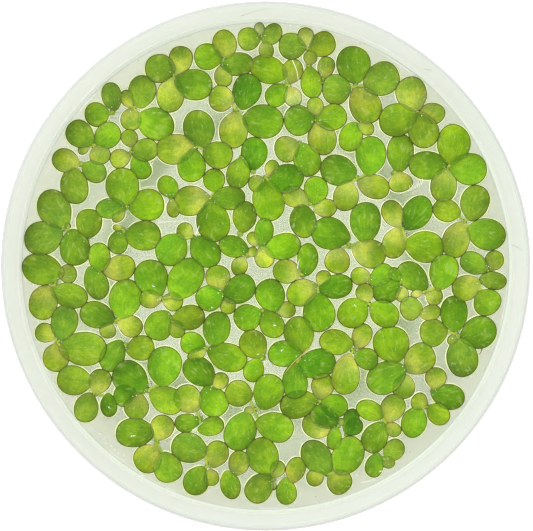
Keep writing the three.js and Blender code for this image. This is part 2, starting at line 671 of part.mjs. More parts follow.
// The water follows the inner wall, a clearance away from it, up to its level
function water() {
  const wet = [];
  for (let step = WALL_STEPS; step > 0; step -= 1) {
    const at = step / WALL_STEPS;
    const wall = innerWall.getPoint(at);
    const along = innerWall.getTangent(at);
    wall.add(new THREE.Vector2(along.y, -along.x).multiplyScalar(1.1 * GAP));
    if (wall.y < WATER_LEVEL - 1) wet.push(wall);
  }
  const profile = [
    new THREE.Vector2(0, wet[0].y),
    ...wet,
    new THREE.Vector2(57.0 - 1.2 * GAP, WATER_LEVEL),
    new THREE.Vector2(0, WATER_LEVEL),
  ];
  const geometry = new THREE.LatheGeometry(profile, ROUND_STEPS);
  geometry.rotateX(Math.PI / 2);
  return named('water', geometry, { color: 0xdfe8dc, roughness: 0.05, metalness: 0 });
}

// Every outline that makes up the rafts, with the raft that it belongs to
function floatingShapes() {
  const shapes = [];
  const add = (raft, outline, kind) => {
    const inside = outline.map((point) => point.clone().clampLength(0, FLOAT_RADIUS));
    const centre = new THREE.Vector2();
    inside.forEach((point) => centre.addScaledVector(point, 1 / inside.length));
    shapes.push({ raft, kind, outline: inside, centre });
  };
  RAFTS.forEach((plants, raft) => {
    for (const [x, y, fronds] of plants) {
      for (const frond of fronds) add(raft, frondOutline(frond), FROND);
      if (fronds.length === 1) continue;
      add(raft, hubOutline(x, y), HUB);
      for (const frond of fronds) add(raft, stalkOutline(x, y, frond), STALK);
    }
  });
  return shapes;
}

// Joins lenses of these outlines into one solid
function joinedLenses(shapes) {
  const solids = shapes.map((shape) => toSolid(lensGeometry(withoutShortEdges(shape.outline))));
  return solids.reduce((whole, solid) => whole.add(solid));
}

// One raft: its fronds, with hubs and then stalks where the fronds alone stand apart
function duckweed(shapes, plants, raft) {
  const mine = shapes.filter((shape) => shape.raft === raft);
  let joined = joinedLenses(mine.filter((shape) => shape.kind === FROND));
  for (const last of [HUB, STALK]) {
    if (joined.decompose().length > 1) joined = joinedLenses(mine.filter((shape) => shape.kind <= last));
  }
  const topmost = plants[0][2][plants[0][2].length - 1];
  const name = `duckweed_${String(raft + 1).padStart(2, '0')}`;
  return named(name, toGeometry(joined), {
    color: LEAF_COLOURS[topmost[5][0]],
    roughness: 0.45,
    metalness: 0,
  });
}

const model = new THREE.Group();
model.add(bowl(), water());
const shapes = floatingShapes();
partRafts(shapes);
RAFTS.forEach((plants, raft) => model.add(duckweed(shapes, plants, raft)));

export default model;
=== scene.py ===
"""A bowl of giant duckweed seen from straight above: a milky white plastic bowl of water, covered with
floating colonies of oval fronds. Lengths in this script are millimetres until MM turns them into metres."""
import math
import random

import bmesh
import bpy
import numpy as np
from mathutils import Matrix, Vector


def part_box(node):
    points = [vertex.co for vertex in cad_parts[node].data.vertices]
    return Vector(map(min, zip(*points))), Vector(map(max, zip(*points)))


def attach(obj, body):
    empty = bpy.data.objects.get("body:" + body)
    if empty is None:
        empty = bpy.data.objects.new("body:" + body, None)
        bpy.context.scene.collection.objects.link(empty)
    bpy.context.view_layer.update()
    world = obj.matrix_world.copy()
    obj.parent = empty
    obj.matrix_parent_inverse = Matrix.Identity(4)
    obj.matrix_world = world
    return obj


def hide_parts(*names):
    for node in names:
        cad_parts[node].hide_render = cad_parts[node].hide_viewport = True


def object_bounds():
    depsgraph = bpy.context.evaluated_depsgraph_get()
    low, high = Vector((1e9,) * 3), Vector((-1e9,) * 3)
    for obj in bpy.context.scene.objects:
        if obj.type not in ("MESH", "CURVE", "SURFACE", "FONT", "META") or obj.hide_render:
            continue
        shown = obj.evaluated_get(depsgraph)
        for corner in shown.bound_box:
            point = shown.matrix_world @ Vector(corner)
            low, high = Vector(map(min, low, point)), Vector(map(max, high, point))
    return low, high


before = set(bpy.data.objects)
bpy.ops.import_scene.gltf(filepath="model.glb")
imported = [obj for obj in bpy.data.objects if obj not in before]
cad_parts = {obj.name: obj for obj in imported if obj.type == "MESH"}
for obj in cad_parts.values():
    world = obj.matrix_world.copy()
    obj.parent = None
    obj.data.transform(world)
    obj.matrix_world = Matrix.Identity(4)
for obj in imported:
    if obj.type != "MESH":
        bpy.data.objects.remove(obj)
cad_low, cad_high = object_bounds()

MM = 0.001

# Sizes read from the frame
RIM_RADIUS = cad_high.x / MM
RIM_HEIGHT = cad_high.z / MM
WATER_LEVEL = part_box("water")[1].z / MM

# The bowl's wall: radius and height down its inside and up its outside
WALL = 1.4
FOOT_RADIUS = 37.0
FOOT_WIDTH = 2.5
FOOT_HEIGHT = 1.4
FLOOR_THICKNESS = 1.6
INNER_WALL = [
    (RIM_RADIUS - WALL, RIM_HEIGHT - 0.7), (57.0, 37.0), (55.2, 29.0), (52.0, 18.5),
    (46.8, 9.8), (40.5, 5.0), (33.0, FOOT_HEIGHT + FLOOR_THICKNESS),
]
OUTER_WALL = [
    (FOOT_RADIUS, 0.0), (41.6, 3.2), (48.3, 8.8), (53.5, 18.0),
    (56.7, 29.0), (58.6, 38.0), (RIM_RADIUS, RIM_HEIGHT - 0.8),
]
TURN_STEPS = 192

# Fronds: their meshes, their form, and how they float and join
FROND_AROUND = 48
FROND_RINGS = 28
WEB_AROUND = 16
WEB_RINGS = 6
EGG_SHAPE = 0.1
BASE_TAPER = 0.16
WOBBLE = 0.014
FULLNESS = 1.034
FULL_REACH = 50.0
FLOAT_GAP = 0.22
CROWN = 0.3
EDGE_THICKNESS = 0.1
STACK_STEP = 0.11
OVERLAP_DEPTH = 0.12
CONTACT_GAP = 0.5
FAR_GAP = 0.6
CLEAR_GAP = 2.0
WEB_RADIUS = 0.75
WEB_THICKNESS = 0.09
WEB_LIFT = 0.1
STALK_HALF_WIDTH = 0.32
NODE_REACH = 2.4

# The camera and the photograph's frame, in pixels of a 533 x 531 image
IMAGE_WIDTH = 533
IMAGE_HEIGHT = 531
RIM_CENTRE_X = 265.6
RIM_CENTRE_Y = 266.0
RIM_RADIUS_PX = 265.3
CAMERA_HEIGHT = 360.0
SENSOR = 36.0


def srgb(red, green, blue):
    """A colour given as it looks on a screen, 0 to 255, in linear light."""
    out = []
    for value in (red, green, blue):
        share = value / 255
        out.append(share / 12.92 if share <= 0.04045 else ((share + 0.055) / 1.055) ** 2.4)
    return tuple(out)


# Leaf colours by shade letter
SHADES = {
    "Y": srgb(154, 180, 44),
    "P": srgb(208, 222, 112),
    "F": srgb(136, 184, 22),
    "M": srgb(127, 167, 32),
    "D": srgb(102, 153, 14),
    "O": srgb(142, 164, 40),
}
YOUNG = "YPO"
OLIVE_GROWN = ("OD", "OM")
LEAN = 0.38
GROWN_LEAN = 0.7

# How far a frond's colour may stray by chance, and how it changes from the bowl's middle outwards
LIGHT_STRAY = 0.11
WARMTH_STRAY = 0.1
YOUNG_WARMTH = 0.4
RICHNESS_STRAY = 0.35
LIGHT_LEVEL = 1.01
CENTRE_TINT = (0.89, 0.97, 0.36)
EDGE_TINT = (1.02, 0.97, 1.1)
TINT_REACH = 52.0

# A young frond pales towards its base, less so by the wall, and greens towards its tip
PALE_BASE = srgb(211, 217, 92)
PALE_SHARE = {"Y": 0.68, "P": 0.82, "O": 0.42}
PALE_LOSS = 0.45
TIP_GREEN = srgb(131, 168, 22)
TIP_SHARE = 0.45
LEANING_TIP_SHARE = 0.75

# Painted light on a frond: its general level, lighter to one side and on top of its dome
SKIN_LIGHT = 0.94
SIDE_LIGHT = 0.27
TOP_LIGHT = 0.15

# Where fronds meet: the lens seen through the upper one, painted darker as shade where two layers overlap,
# the shadow painted on the lower one, the node and the web
OVERLAP_SHADE = (0.58, 0.73, 0.38)
LENS_SHARE = 0.3
LENS_EDGE_SHARE = 0.4
CONTACT_SHADOW = (0.62, 0.72, 0.40)
CONTACT_REACH = 0.8
YOUNG_CONTACT = 0.25
GROWN_CONTACT = 0.5
NODE_TINT = (0.72, 0.86, 0.55)
NODE_SHARE = 0.15
WEB_TONE = srgb(166, 186, 78)
STALK_PALE = 0.55
UNDERSIDE = srgb(204, 222, 140)
UNDERSIDE_SHARE = 0.75

# The plants, raft by raft. A raft is one colony, or two or more whose fronds have slid over each other.
# A plant is its node's x and y, then its fronds. Fronds of the shades Y, P and O lie under the others of
# their raft, and otherwise the first of a plant lies lowest. A frond is the x and y of its base, the x and
# y of its tip, its width and its shade: Y young yellow-green, P pale young, F fresh bright green, M mature,
# D deep green, O young olive. A second letter is a lean towards that shade, but OD and OM are grown olive
# fronds.
RAFTS = [
  [[-35.4, 35.5, [[-36.0, 35.4, -41.8, 34.6, 5.6, "F"], [-34.9, 35.7, -36.1, 42.4, 4.6, "M"]]],
   [-30.5, 36.6, [[-31.3, 36.5, -32.7, 40.7, 3.0, "Y"], [-30.6, 36.6, -31.5, 31.5, 4.9, "Y"],
     [-28.9, 36.3, -28.2, 44.1, 6.3, "M"], [-30.0, 34.5, -21.5, 31.4, 7.2, "F"]]]],
  [[-21.2, 43.8, [[-20.2, 44.1, -19.2, 50.9, 5.5, "Y"], [-21.2, 43.8, -22.6, 35.7, 6.2, "Y"],
     [-20.7, 45.7, -27.9, 45.5, 6.5, "M"], [-21.5, 42.5, -12.5, 41.3, 7.0, "MD"]]]],
  [[-9.8, 47.0, [[-8.6, 47.7, -10.2, 54.6, 5.4, "Y"], [-10.0, 46.6, -9.6, 41.5, 4.2, "Y"],
     [-9.9, 47.8, -16.5, 48.9, 6.1, "F"], [-10.6, 46.0, -3.0, 47.1, 5.4, "OD"]]]],
  [[-1.1, 53.0, [[-1.2, 53.2, -1.6, 56.3, 2.5, "PY"], [-0.4, 52.0, 0.6, 48.1, 3.5, "Y"],
     [-1.0, 53.2, -6.5, 51.8, 5.2, "FY"], [-0.4, 50.9, 3.1, 55.8, 4.2, "MY"]]],
   [5.2, 42.1, [[5.6, 41.6, 6.9, 36.9, 4.1, "P"], [5.4, 42.1, 6.9, 47.6, 4.9, "YO"],
     [5.1, 43.9, -3.3, 46.6, 6.3, "F"], [4.7, 41.8, 0.7, 37.5, 5.0, "F"]]]],
  [[9.7, 50.3, [[9.7, 50.3, 8.9, 55.2, 3.8, "YP"], [9.6, 50.8, 2.9, 50.8, 6.0, "M"],
     [9.9, 49.6, 16.0, 52.6, 5.6, "MY"]]],
   [10.0, 46.2, [[10.0, 46.3, 10.6, 49.7, 3.2, "O"], [10.1, 46.2, 11.0, 38.9, 4.9, "F"]]]],
  [[13.3, 43.2, [[13.4, 43.3, 14.5, 48.4, 4.0, "O"]]]],
  [[20.8, 41.6, [[21.0, 41.6, 24.7, 33.3, 7.2, "O"], [19.9, 41.0, 13.2, 40.6, 6.9, "M"],
     [21.1, 42.0, 19.5, 50.8, 7.6, "MD"], [22.6, 41.2, 30.7, 45.0, 7.4, "M"]]]],
  [[11.5, 33.6, [[12.0, 34.5, 11.1, 38.9, 3.8, "Y"], [12.0, 33.5, 13.9, 26.0, 6.6, "YO"],
     [11.3, 34.8, 4.6, 32.7, 7.0, "MD"], [11.5, 33.6, 18.6, 34.9, 5.9, "F"]]],
   [7.8, 28.3, [[7.8, 28.3, 2.4, 26.0, 6.0, "Y"], [7.8, 28.4, 11.0, 21.1, 6.2, "MF"]]]],
  [[20.9, 32.6, [[21.0, 32.6, 25.0, 31.2, 3.2, "Y"], [20.2, 33.3, 19.2, 26.6, 5.4, "F"]]]],
  [[-6.9, 35.9, [[-7.0, 38.2, -13.0, 39.0, 5.9, "YM"], [-6.8, 35.8, -7.9, 27.5, 6.6, "Y"],
     [-5.6, 36.0, -3.3, 44.1, 6.4, "D"], [-5.6, 34.0, 3.8, 32.9, 7.7, "MD"]]]],
  [[-16.0, 27.6, [[-16.0, 27.6, -25.0, 26.5, 6.9, "Y"], [-16.6, 27.3, -17.5, 19.6, 6.4, "F"],
     [-14.5, 26.9, -8.0, 24.5, 6.3, "FO"], [-14.2, 27.0, -16.4, 35.7, 7.0, "OD"]]]],
  [[-31.1, 26.0, [[-31.2, 25.6, -35.8, 24.2, 4.5, "Y"], [-30.8, 25.0, -27.2, 20.6, 4.5, "F"],
     [-30.8, 27.4, -32.0, 31.4, 3.9, "OY"], [-31.1, 26.2, -25.0, 27.3, 5.2, "M"]]]],
  [[-39.9, 27.9, [[-40.9, 27.6, -43.3, 26.2, 2.2, "Y"], [-39.3, 27.9, -37.4, 23.7, 4.9, "Y"],
     [-39.2, 27.6, -34.2, 32.2, 5.7, "F"], [-39.7, 28.4, -45.8, 32.3, 6.0, "MD"]]],
   [-42.8, 23.6, [[-43.0, 23.7, -49.3, 25.0, 5.5, "YO"], [-44.9, 23.0, -43.6, 14.6, 6.4, "M"],
     [-42.3, 23.5, -37.2, 20.4, 5.0, "M"]]]],
  [[-46.6, 8.6, [[-46.2, 8.8, -45.2, 9.8, 1.5, "Y"], [-46.0, 8.8, -51.3, 17.1, 7.4, "MO"],
     [-46.9, 8.2, -55.5, 4.9, 7.7, "M"], [-44.7, 8.7, -43.5, 0.3, 6.9, "MD"]]],
   [-41.4, 6.0, [[-41.3, 6.3, -40.4, 13.0, 6.0, "MO"]]]],
  [[-32.1, 13.7, [[-32.4, 12.6, -35.3, 10.4, 2.2, "Y"], [-31.8, 13.6, -23.6, 14.5, 7.2, "F"],
     [-32.1, 13.6, -39.0, 13.1, 4.7, "MD"], [-32.0, 13.8, -33.9, 22.4, 7.5, "MF"]]]],
  [[-33.1, 8.5, [[-33.1, 8.6, -35.3, 9.0, 1.5, "Y"], [-33.6, 8.4, -34.5, 2.9, 4.6, "M"],
     [-32.8, 7.0, -24.3, 7.0, 6.7, "M"]]]],
  [[-21.8, 15.9, [[-21.7, 15.6, -21.1, 11.3, 3.1, "O"], [-20.6, 16.0, -24.2, 20.3, 4.4, "F"]]],
   [-12.8, 15.6, [[-12.8, 15.6, -20.9, 14.6, 6.9, "YO"], [-11.2, 17.0, -12.5, 22.3, 5.0, "F"],
     [-12.5, 15.4, -4.9, 16.0, 5.4, "M"], [-13.0, 15.4, -11.4, 5.9, 7.6, "MD"]]],
   [-5.9, 7.5, [[-5.3, 7.6, -4.5, 14.7, 5.5, "MO"]]]],
  [[-2.9, 21.9, [[-3.0, 22.0, -2.4, 29.6, 6.0, "D"]]],
   [-5.5, 25.1, [[-5.5, 25.1, -7.0, 18.1, 5.4, "MO"]]]],
  [[0.0, 20.4, [[0.0, 20.0, -3.8, 18.3, 3.9, "Y"], [0.5, 20.8, 2.2, 24.3, 3.2, "YO"],
     [-0.4, 20.3, 1.4, 10.6, 7.1, "MF"], [0.5, 19.0, 8.5, 21.2, 6.5, "D"]]],
   [10.1, 14.6, [[10.0, 14.9, 3.9, 16.9, 4.9, "Y"], [11.0, 12.9, 16.3, 13.8, 4.3, "Y"],
     [11.3, 14.0, 11.9, 20.6, 5.5, "F"], [8.0, 14.5, 9.2, 6.8, 6.1, "OD"]]]],
  [[21.3, 20.2, [[19.0, 19.9, 18.2, 12.9, 5.8, "Y"], [21.2, 19.6, 28.3, 17.3, 5.6, "Y"],
     [21.1, 21.3, 12.9, 22.8, 7.0, "MD"], [24.0, 20.7, 24.5, 29.8, 6.8, "F"]]]],
  [[19.4, 4.6, [[16.9, 4.6, 16.3, -1.7, 5.7, "Y"], [19.9, 4.1, 27.6, 1.9, 6.5, "YO"],
     [19.5, 6.1, 11.0, 8.7, 7.3, "DM"], [23.0, 5.2, 23.1, 14.5, 7.1, "MD"]]]],
  [[31.6, 8.6, [[31.0, 9.1, 28.0, 14.8, 5.0, "Y"], [30.5, 9.0, 29.0, 1.9, 5.4, "Y"],
     [32.0, 4.9, 40.9, 4.0, 7.2, "F"], [32.0, 8.5, 37.4, 15.4, 6.4, "D"]]]],
  [[29.7, 21.5, [[30.6, 21.8, 31.6, 17.2, 5.5, "Y"], [30.8, 21.6, 31.4, 30.2, 6.2, "OD"]]]],
  [[35.2, 35.5, [[34.6, 35.6, 32.8, 43.6, 7.1, "Y"], [35.2, 35.5, 41.5, 35.0, 4.9, "Y"],
     [35.0, 35.2, 26.5, 32.5, 7.3, "MF"], [35.2, 35.5, 37.3, 27.5, 6.9, "M"]]]],
  [[42.3, 22.9, [[41.4, 22.8, 40.9, 15.0, 6.1, "YF"], [42.3, 22.9, 51.2, 21.9, 7.1, "F"],
     [42.1, 23.2, 33.4, 23.3, 6.5, "MD"], [42.8, 23.2, 44.0, 32.7, 7.5, "F"]]],
   [45.8, 10.2, [[45.1, 11.9, 38.9, 13.7, 5.3, "FY"], [45.4, 10.3, 42.8, 2.3, 6.3, "YO"],
     [47.2, 10.4, 49.4, 18.6, 6.6, "MD"], [46.2, 8.3, 55.4, 6.5, 7.1, "FM"]]]],
  [[-16.9, 6.7, [[-16.7, 7.0, -20.3, 8.9, 4.0, "Y"], [-18.8, 7.0, -24.2, 1.0, 6.9, "FM"],
     [-16.9, 6.7, -11.5, 0.4, 6.3, "DM"]]]],
  [[-4.2, 2.5, [[-5.6, 2.4, -6.4, -2.1, 3.8, "Y"], [-4.2, 2.6, -2.0, 3.9, 2.4, "Y"],
     [-3.9, 3.6, -10.5, 5.3, 5.0, "MD"]]],
   [-1.0, 4.4, [[-2.0, 4.6, -3.6, 7.7, 2.9, "Y"], [-0.8, 4.6, 0.1, -0.3, 4.6, "P"],
     [-1.0, 4.4, 0.1, 10.8, 4.4, "MF"], [-0.2, 3.3, 7.8, 5.5, 6.0, "F"]]]],
  [[8.6, -2.1, [[8.2, -1.6, 1.9, -0.9, 5.6, "YF"], [9.5, -2.3, 9.9, 5.0, 4.8, "FD"]]]],
  [[-48.6, -3.8, [[-48.0, -2.2, -43.7, -1.5, 4.3, "OY"], [-50.2, -4.3, -52.4, -12.3, 6.6, "YO"],
     [-46.6, -1.8, -56.2, 0.2, 7.1, "M"], [-49.9, -5.6, -41.4, -7.8, 5.7, "MD"]]]],
  [[-48.1, -17.7, [[-48.6, -16.6, -53.1, -14.4, 4.5, "Y"], [-47.4, -17.6, -49.3, -24.4, 6.0, "YO"],
     [-47.2, -17.4, -45.9, -9.2, 6.1, "M"], [-47.7, -18.9, -37.1, -19.3, 7.7, "MF"]]],
   [-32.5, -18.3, [[-32.4, -19.3, -25.8, -18.7, 5.7, "FY"], [-33.3, -17.1, -37.1, -24.0, 5.5, "MD"]]]],
  [[-39.2, -1.2, [[-38.3, -1.5, -38.5, 5.2, 5.1, "F"], [-37.6, -1.4, -30.3, 0.3, 5.9, "Y"],
     [-40.9, -0.2, -37.6, -7.3, 5.4, "MD"]]]],
  [[-34.5, -12.6, [[-35.8, -13.0, -37.0, -16.6, 3.8, "Y"], [-34.2, -13.2, -28.6, -14.5, 5.0, "Y"],
     [-34.8, -12.6, -42.6, -10.2, 6.0, "MD"], [-33.2, -12.4, -31.7, -3.3, 7.4, "F"]]]],
  [[-23.9, -7.6, [[-23.9, -7.7, -29.1, -7.5, 4.3, "Y"], [-24.0, -7.6, -19.2, -8.7, 4.3, "Y"],
     [-24.4, -7.0, -28.0, 0.9, 7.6, "MD"], [-21.4, -7.7, -16.0, 1.2, 7.6, "FM"]]]],
  [[-21.9, -12.0, [[-21.8, -12.4, -19.6, -16.4, 3.8, "YO"], [-22.3, -10.5, -26.6, -16.5, 6.3, "FM"],
     [-21.8, -12.8, -14.3, -11.2, 5.7, "MO"]]]],
  [[-13.6, -19.1, [[-13.8, -19.2, -17.8, -21.5, 3.0, "Y"], [-13.9, -18.6, -19.5, -17.1, 5.1, "F"],
     [-12.0, -18.8, -10.7, -10.7, 6.2, "MF"], [-13.5, -19.4, -4.7, -22.5, 6.4, "FY"]]],
   [-13.0, -28.2, [[-11.8, -28.5, -9.4, -24.9, 3.7, "YO"], [-12.0, -27.2, -18.2, -21.9, 6.4, "D"],
     [-14.2, -27.9, -10.3, -34.3, 6.6, "F"]]]],
  [[-9.9, -6.5, [[-9.0, -7.0, -8.5, -11.1, 3.6, "Y"], [-10.2, -6.0, -11.6, 0.0, 5.6, "YO"],
     [-9.8, -5.7, -15.6, -8.8, 5.9, "F"], [-9.6, -7.7, -2.9, -3.4, 6.3, "DM"]]]],
  [[2.6, -10.9, [[2.8, -11.0, 6.7, -9.4, 3.8, "Y"], [2.9, -10.5, -0.4, -3.5, 6.7, "F"]]],
   [-0.7, -10.4, [[-1.0, -10.4, -6.9, -13.2, 6.2, "FM"], [-0.5, -10.4, 3.1, -16.2, 5.4, "MF"]]]],
  [[-0.6, -21.2, [[-0.4, -21.0, -4.9, -15.6, 6.2, "MO"], [-1.6, -21.2, -3.7, -26.6, 4.6, "F"]]]],
  [[8.0, -20.9, [[8.9, -20.0, 6.7, -11.9, 6.6, "M"], [8.5, -20.2, 0.8, -20.3, 6.0, "FD"],
     [6.8, -22.2, 6.7, -30.4, 5.8, "FM"], [7.3, -24.1, 15.8, -21.3, 6.7, "D"]]],
   [12.4, -31.2, [[12.4, -31.0, 13.8, -24.9, 5.2, "Y"], [12.1, -30.5, 3.6, -33.1, 6.3, "M"],
     [12.7, -31.4, 18.7, -33.0, 5.4, "F"]]],
   [16.7, -36.9, [[14.9, -38.6, 8.9, -35.5, 5.7, "Y"], [16.2, -37.0, 15.5, -42.3, 3.4, "F"],
     [17.0, -37.0, 17.8, -35.2, 1.6, "YP"], [17.0, -36.4, 10.7, -33.4, 5.3, "D"]]],
   [18.8, -39.0, [[18.6, -38.9, 21.9, -35.7, 3.9, "D"], [18.9, -39.1, 20.3, -33.1, 3.8, "D"]]]],
  [[12.1, -4.9, [[12.3, -4.6, 14.2, -1.2, 3.4, "Y"], [12.1, -4.6, 5.2, -7.4, 6.1, "YF"],
     [12.1, -6.2, 12.5, -14.9, 7.4, "FD"], [12.3, -5.6, 19.8, -4.0, 5.6, "D"]]]],
  [[24.4, -3.6, [[24.4, -2.4, 19.7, -2.3, 4.1, "YF"], [24.6, -4.6, 28.6, 0.0, 4.5, "F"]]],
   [36.9, -5.9, [[37.0, -6.3, 40.7, -7.7, 4.2, "Y"], [36.4, -5.9, 33.6, -6.8, 2.0, "PY"],
     [37.2, -5.3, 31.1, 0.0, 6.0, "MD"], [39.6, -5.6, 42.4, 2.4, 6.4, "F"]]],
   [31.2, -3.8, [[31.0, -3.6, 28.8, -0.6, 2.9, "F"], [31.4, -4.4, 31.6, -8.3, 3.2, "PY"],
     [31.4, -4.3, 25.0, -7.0, 5.4, "D"]]],
   [36.2, -10.8, [[36.3, -9.4, 31.1, -10.1, 5.4, "FP"], [35.6, -11.7, 40.3, -10.0, 3.6, "YO"]]]],
  [[44.0, -15.7, [[44.1, -15.9, 42.3, -18.0, 2.2, "Y"], [42.1, -14.9, 35.8, -15.8, 6.4, "M"],
     [43.8, -15.4, 43.3, -7.1, 6.2, "D"], [45.0, -17.0, 53.2, -13.9, 7.3, "DM"],
     [44.2, -16.6, 46.5, -25.5, 7.2, "M"]]]],
  [[51.4, -1.1, [[51.4, -1.0, 54.1, 3.3, 4.3, "OY"], [51.3, -1.1, 45.2, 2.1, 4.9, "MF"]]]],
  [[49.4, -3.7, [[49.3, -3.2, 43.6, -6.6, 5.8, "YO"], [48.8, -6.0, 53.2, -10.5, 6.5, "FM"],
     [49.3, -2.9, 55.7, -3.8, 4.2, "OM"]]]],
  [[32.0, -23.7, [[32.3, -24.9, 31.6, -30.6, 5.2, "YF"], [32.3, -24.3, 38.3, -19.1, 6.8, "YM"],
     [30.4, -22.4, 27.8, -14.3, 8.2, "F"], [32.2, -23.3, 23.9, -27.8, 7.2, "FM"]]]],
  [[20.2, -19.6, [[21.0, -19.2, 23.3, -13.5, 4.5, "YO"], [19.0, -20.3, 18.0, -29.4, 6.4, "YF"],
     [20.2, -18.2, 12.7, -17.0, 5.8, "FY"], [20.5, -20.1, 25.7, -22.5, 4.9, "FM"]]]],
  [[-39.5, -29.6, [[-39.3, -29.6, -37.4, -24.0, 5.1, "YO"], [-39.8, -27.0, -48.3, -25.9, 6.6, "MF"],
     [-40.4, -29.2, -42.4, -36.1, 5.5, "M"], [-36.5, -29.3, -36.0, -34.9, 3.9, "D"]]]],
  [[23.7, -8.7, [[23.6, -8.5, 22.3, -4.2, 4.2, "Y"], [22.9, -7.8, 17.8, -13.4, 6.6, "F"],
     [24.1, -8.9, 30.2, -12.9, 6.0, "F"]]]],
  [[-15.2, -35.2, [[-15.6, -33.6, -20.0, -28.2, 6.2, "Y"], [-15.0, -35.7, -20.9, -36.7, 4.2, "MF"],
     [-15.8, -38.0, -9.8, -36.2, 4.3, "FM"]]],
   [-27.2, -28.6, [[-28.8, -29.4, -30.7, -35.2, 5.7, "O"], [-26.9, -29.0, -19.3, -32.6, 6.1, "FY"],
     [-27.4, -28.6, -34.6, -23.6, 7.5, "D"], [-24.2, -28.0, -22.6, -18.8, 7.6, "F"]]],
   [-29.7, -28.9, [[-29.7, -28.9, -34.9, -30.7, 5.1, "DF"]]]],
  [[-2.7, -33.2, [[-2.7, -33.2, -4.9, -33.3, 1.7, "PY"], [-2.9, -30.2, -9.2, -28.8, 6.0, "FY"],
     [-1.1, -33.1, 2.2, -25.4, 6.9, "F"], [-3.9, -33.7, -7.5, -42.3, 7.0, "MF"],
     [-2.3, -35.7, 6.1, -38.5, 6.7, "FD"]]]],
  [[-13.4, -46.3, [[-13.3, -46.7, -11.9, -50.8, 3.5, "YO"], [-12.2, -46.6, -10.4, -40.6, 5.3, "OY"],
     [-13.3, -43.2, -21.5, -41.0, 6.8, "M"], [-14.3, -46.2, -17.5, -52.8, 5.7, "M"]]]],
  [[-25.2, -40.8, [[-25.0, -40.2, -23.0, -34.7, 5.5, "Y"], [-24.7, -41.8, -29.5, -47.0, 6.5, "YO"],
     [-25.4, -38.4, -34.7, -38.6, 6.6, "MD"], [-23.8, -42.9, -21.5, -50.0, 6.4, "FM"]]]],
  [[-8.0, -48.0, [[-6.9, -48.5, -5.5, -42.8, 4.8, "O"], [-9.2, -47.2, -7.2, -53.7, 4.6, "FM"]]],
   [1.8, -49.3, [[1.9, -49.0, 3.4, -45.1, 3.5, "YO"], [1.8, -49.6, 1.8, -51.9, 1.5, "YP"],
     [1.0, -48.3, -2.2, -40.1, 7.3, "FM"], [1.2, -48.1, -3.9, -54.1, 6.0, "M"]]]],
  [[27.7, -36.2, [[27.7, -36.6, 31.0, -38.8, 3.3, "Y"], [27.8, -36.0, 30.7, -30.0, 5.5, "YO"],
     [27.4, -34.9, 21.3, -32.1, 4.6, "F"], [27.1, -36.0, 23.7, -42.8, 5.8, "MF"]]]],
  [[27.3, -44.6, [[28.0, -43.8, 28.7, -46.8, 3.0, "YO"], [28.0, -45.0, 31.1, -40.2, 4.6, "M"],
     [26.0, -43.1, 24.4, -48.8, 4.2, "FM"]]]],
  [[14.3, -48.1, [[13.4, -47.7, 9.6, -50.0, 3.9, "Y"], [15.0, -47.3, 18.8, -52.1, 5.9, "OY"],
     [14.9, -48.0, 9.3, -41.0, 6.5, "M"], [16.5, -48.3, 21.0, -40.0, 7.1, "FM"]]]],
  [[4.7, -49.6, [[5.8, -50.1, 7.9, -44.4, 4.5, "O"], [4.4, -48.9, 5.1, -55.1, 4.8, "FM"]]]],
  [[38.7, -28.9, [[38.9, -28.6, 39.6, -23.5, 4.8, "YO"], [38.2, -29.5, 45.9, -30.8, 5.8, "D"]]],
   [37.2, -32.5, [[37.4, -32.2, 33.9, -30.6, 4.2, "Y"], [35.5, -32.3, 33.2, -39.5, 5.8, "F"],
     [37.4, -32.3, 42.0, -35.9, 4.8, "FM"]]]],
]


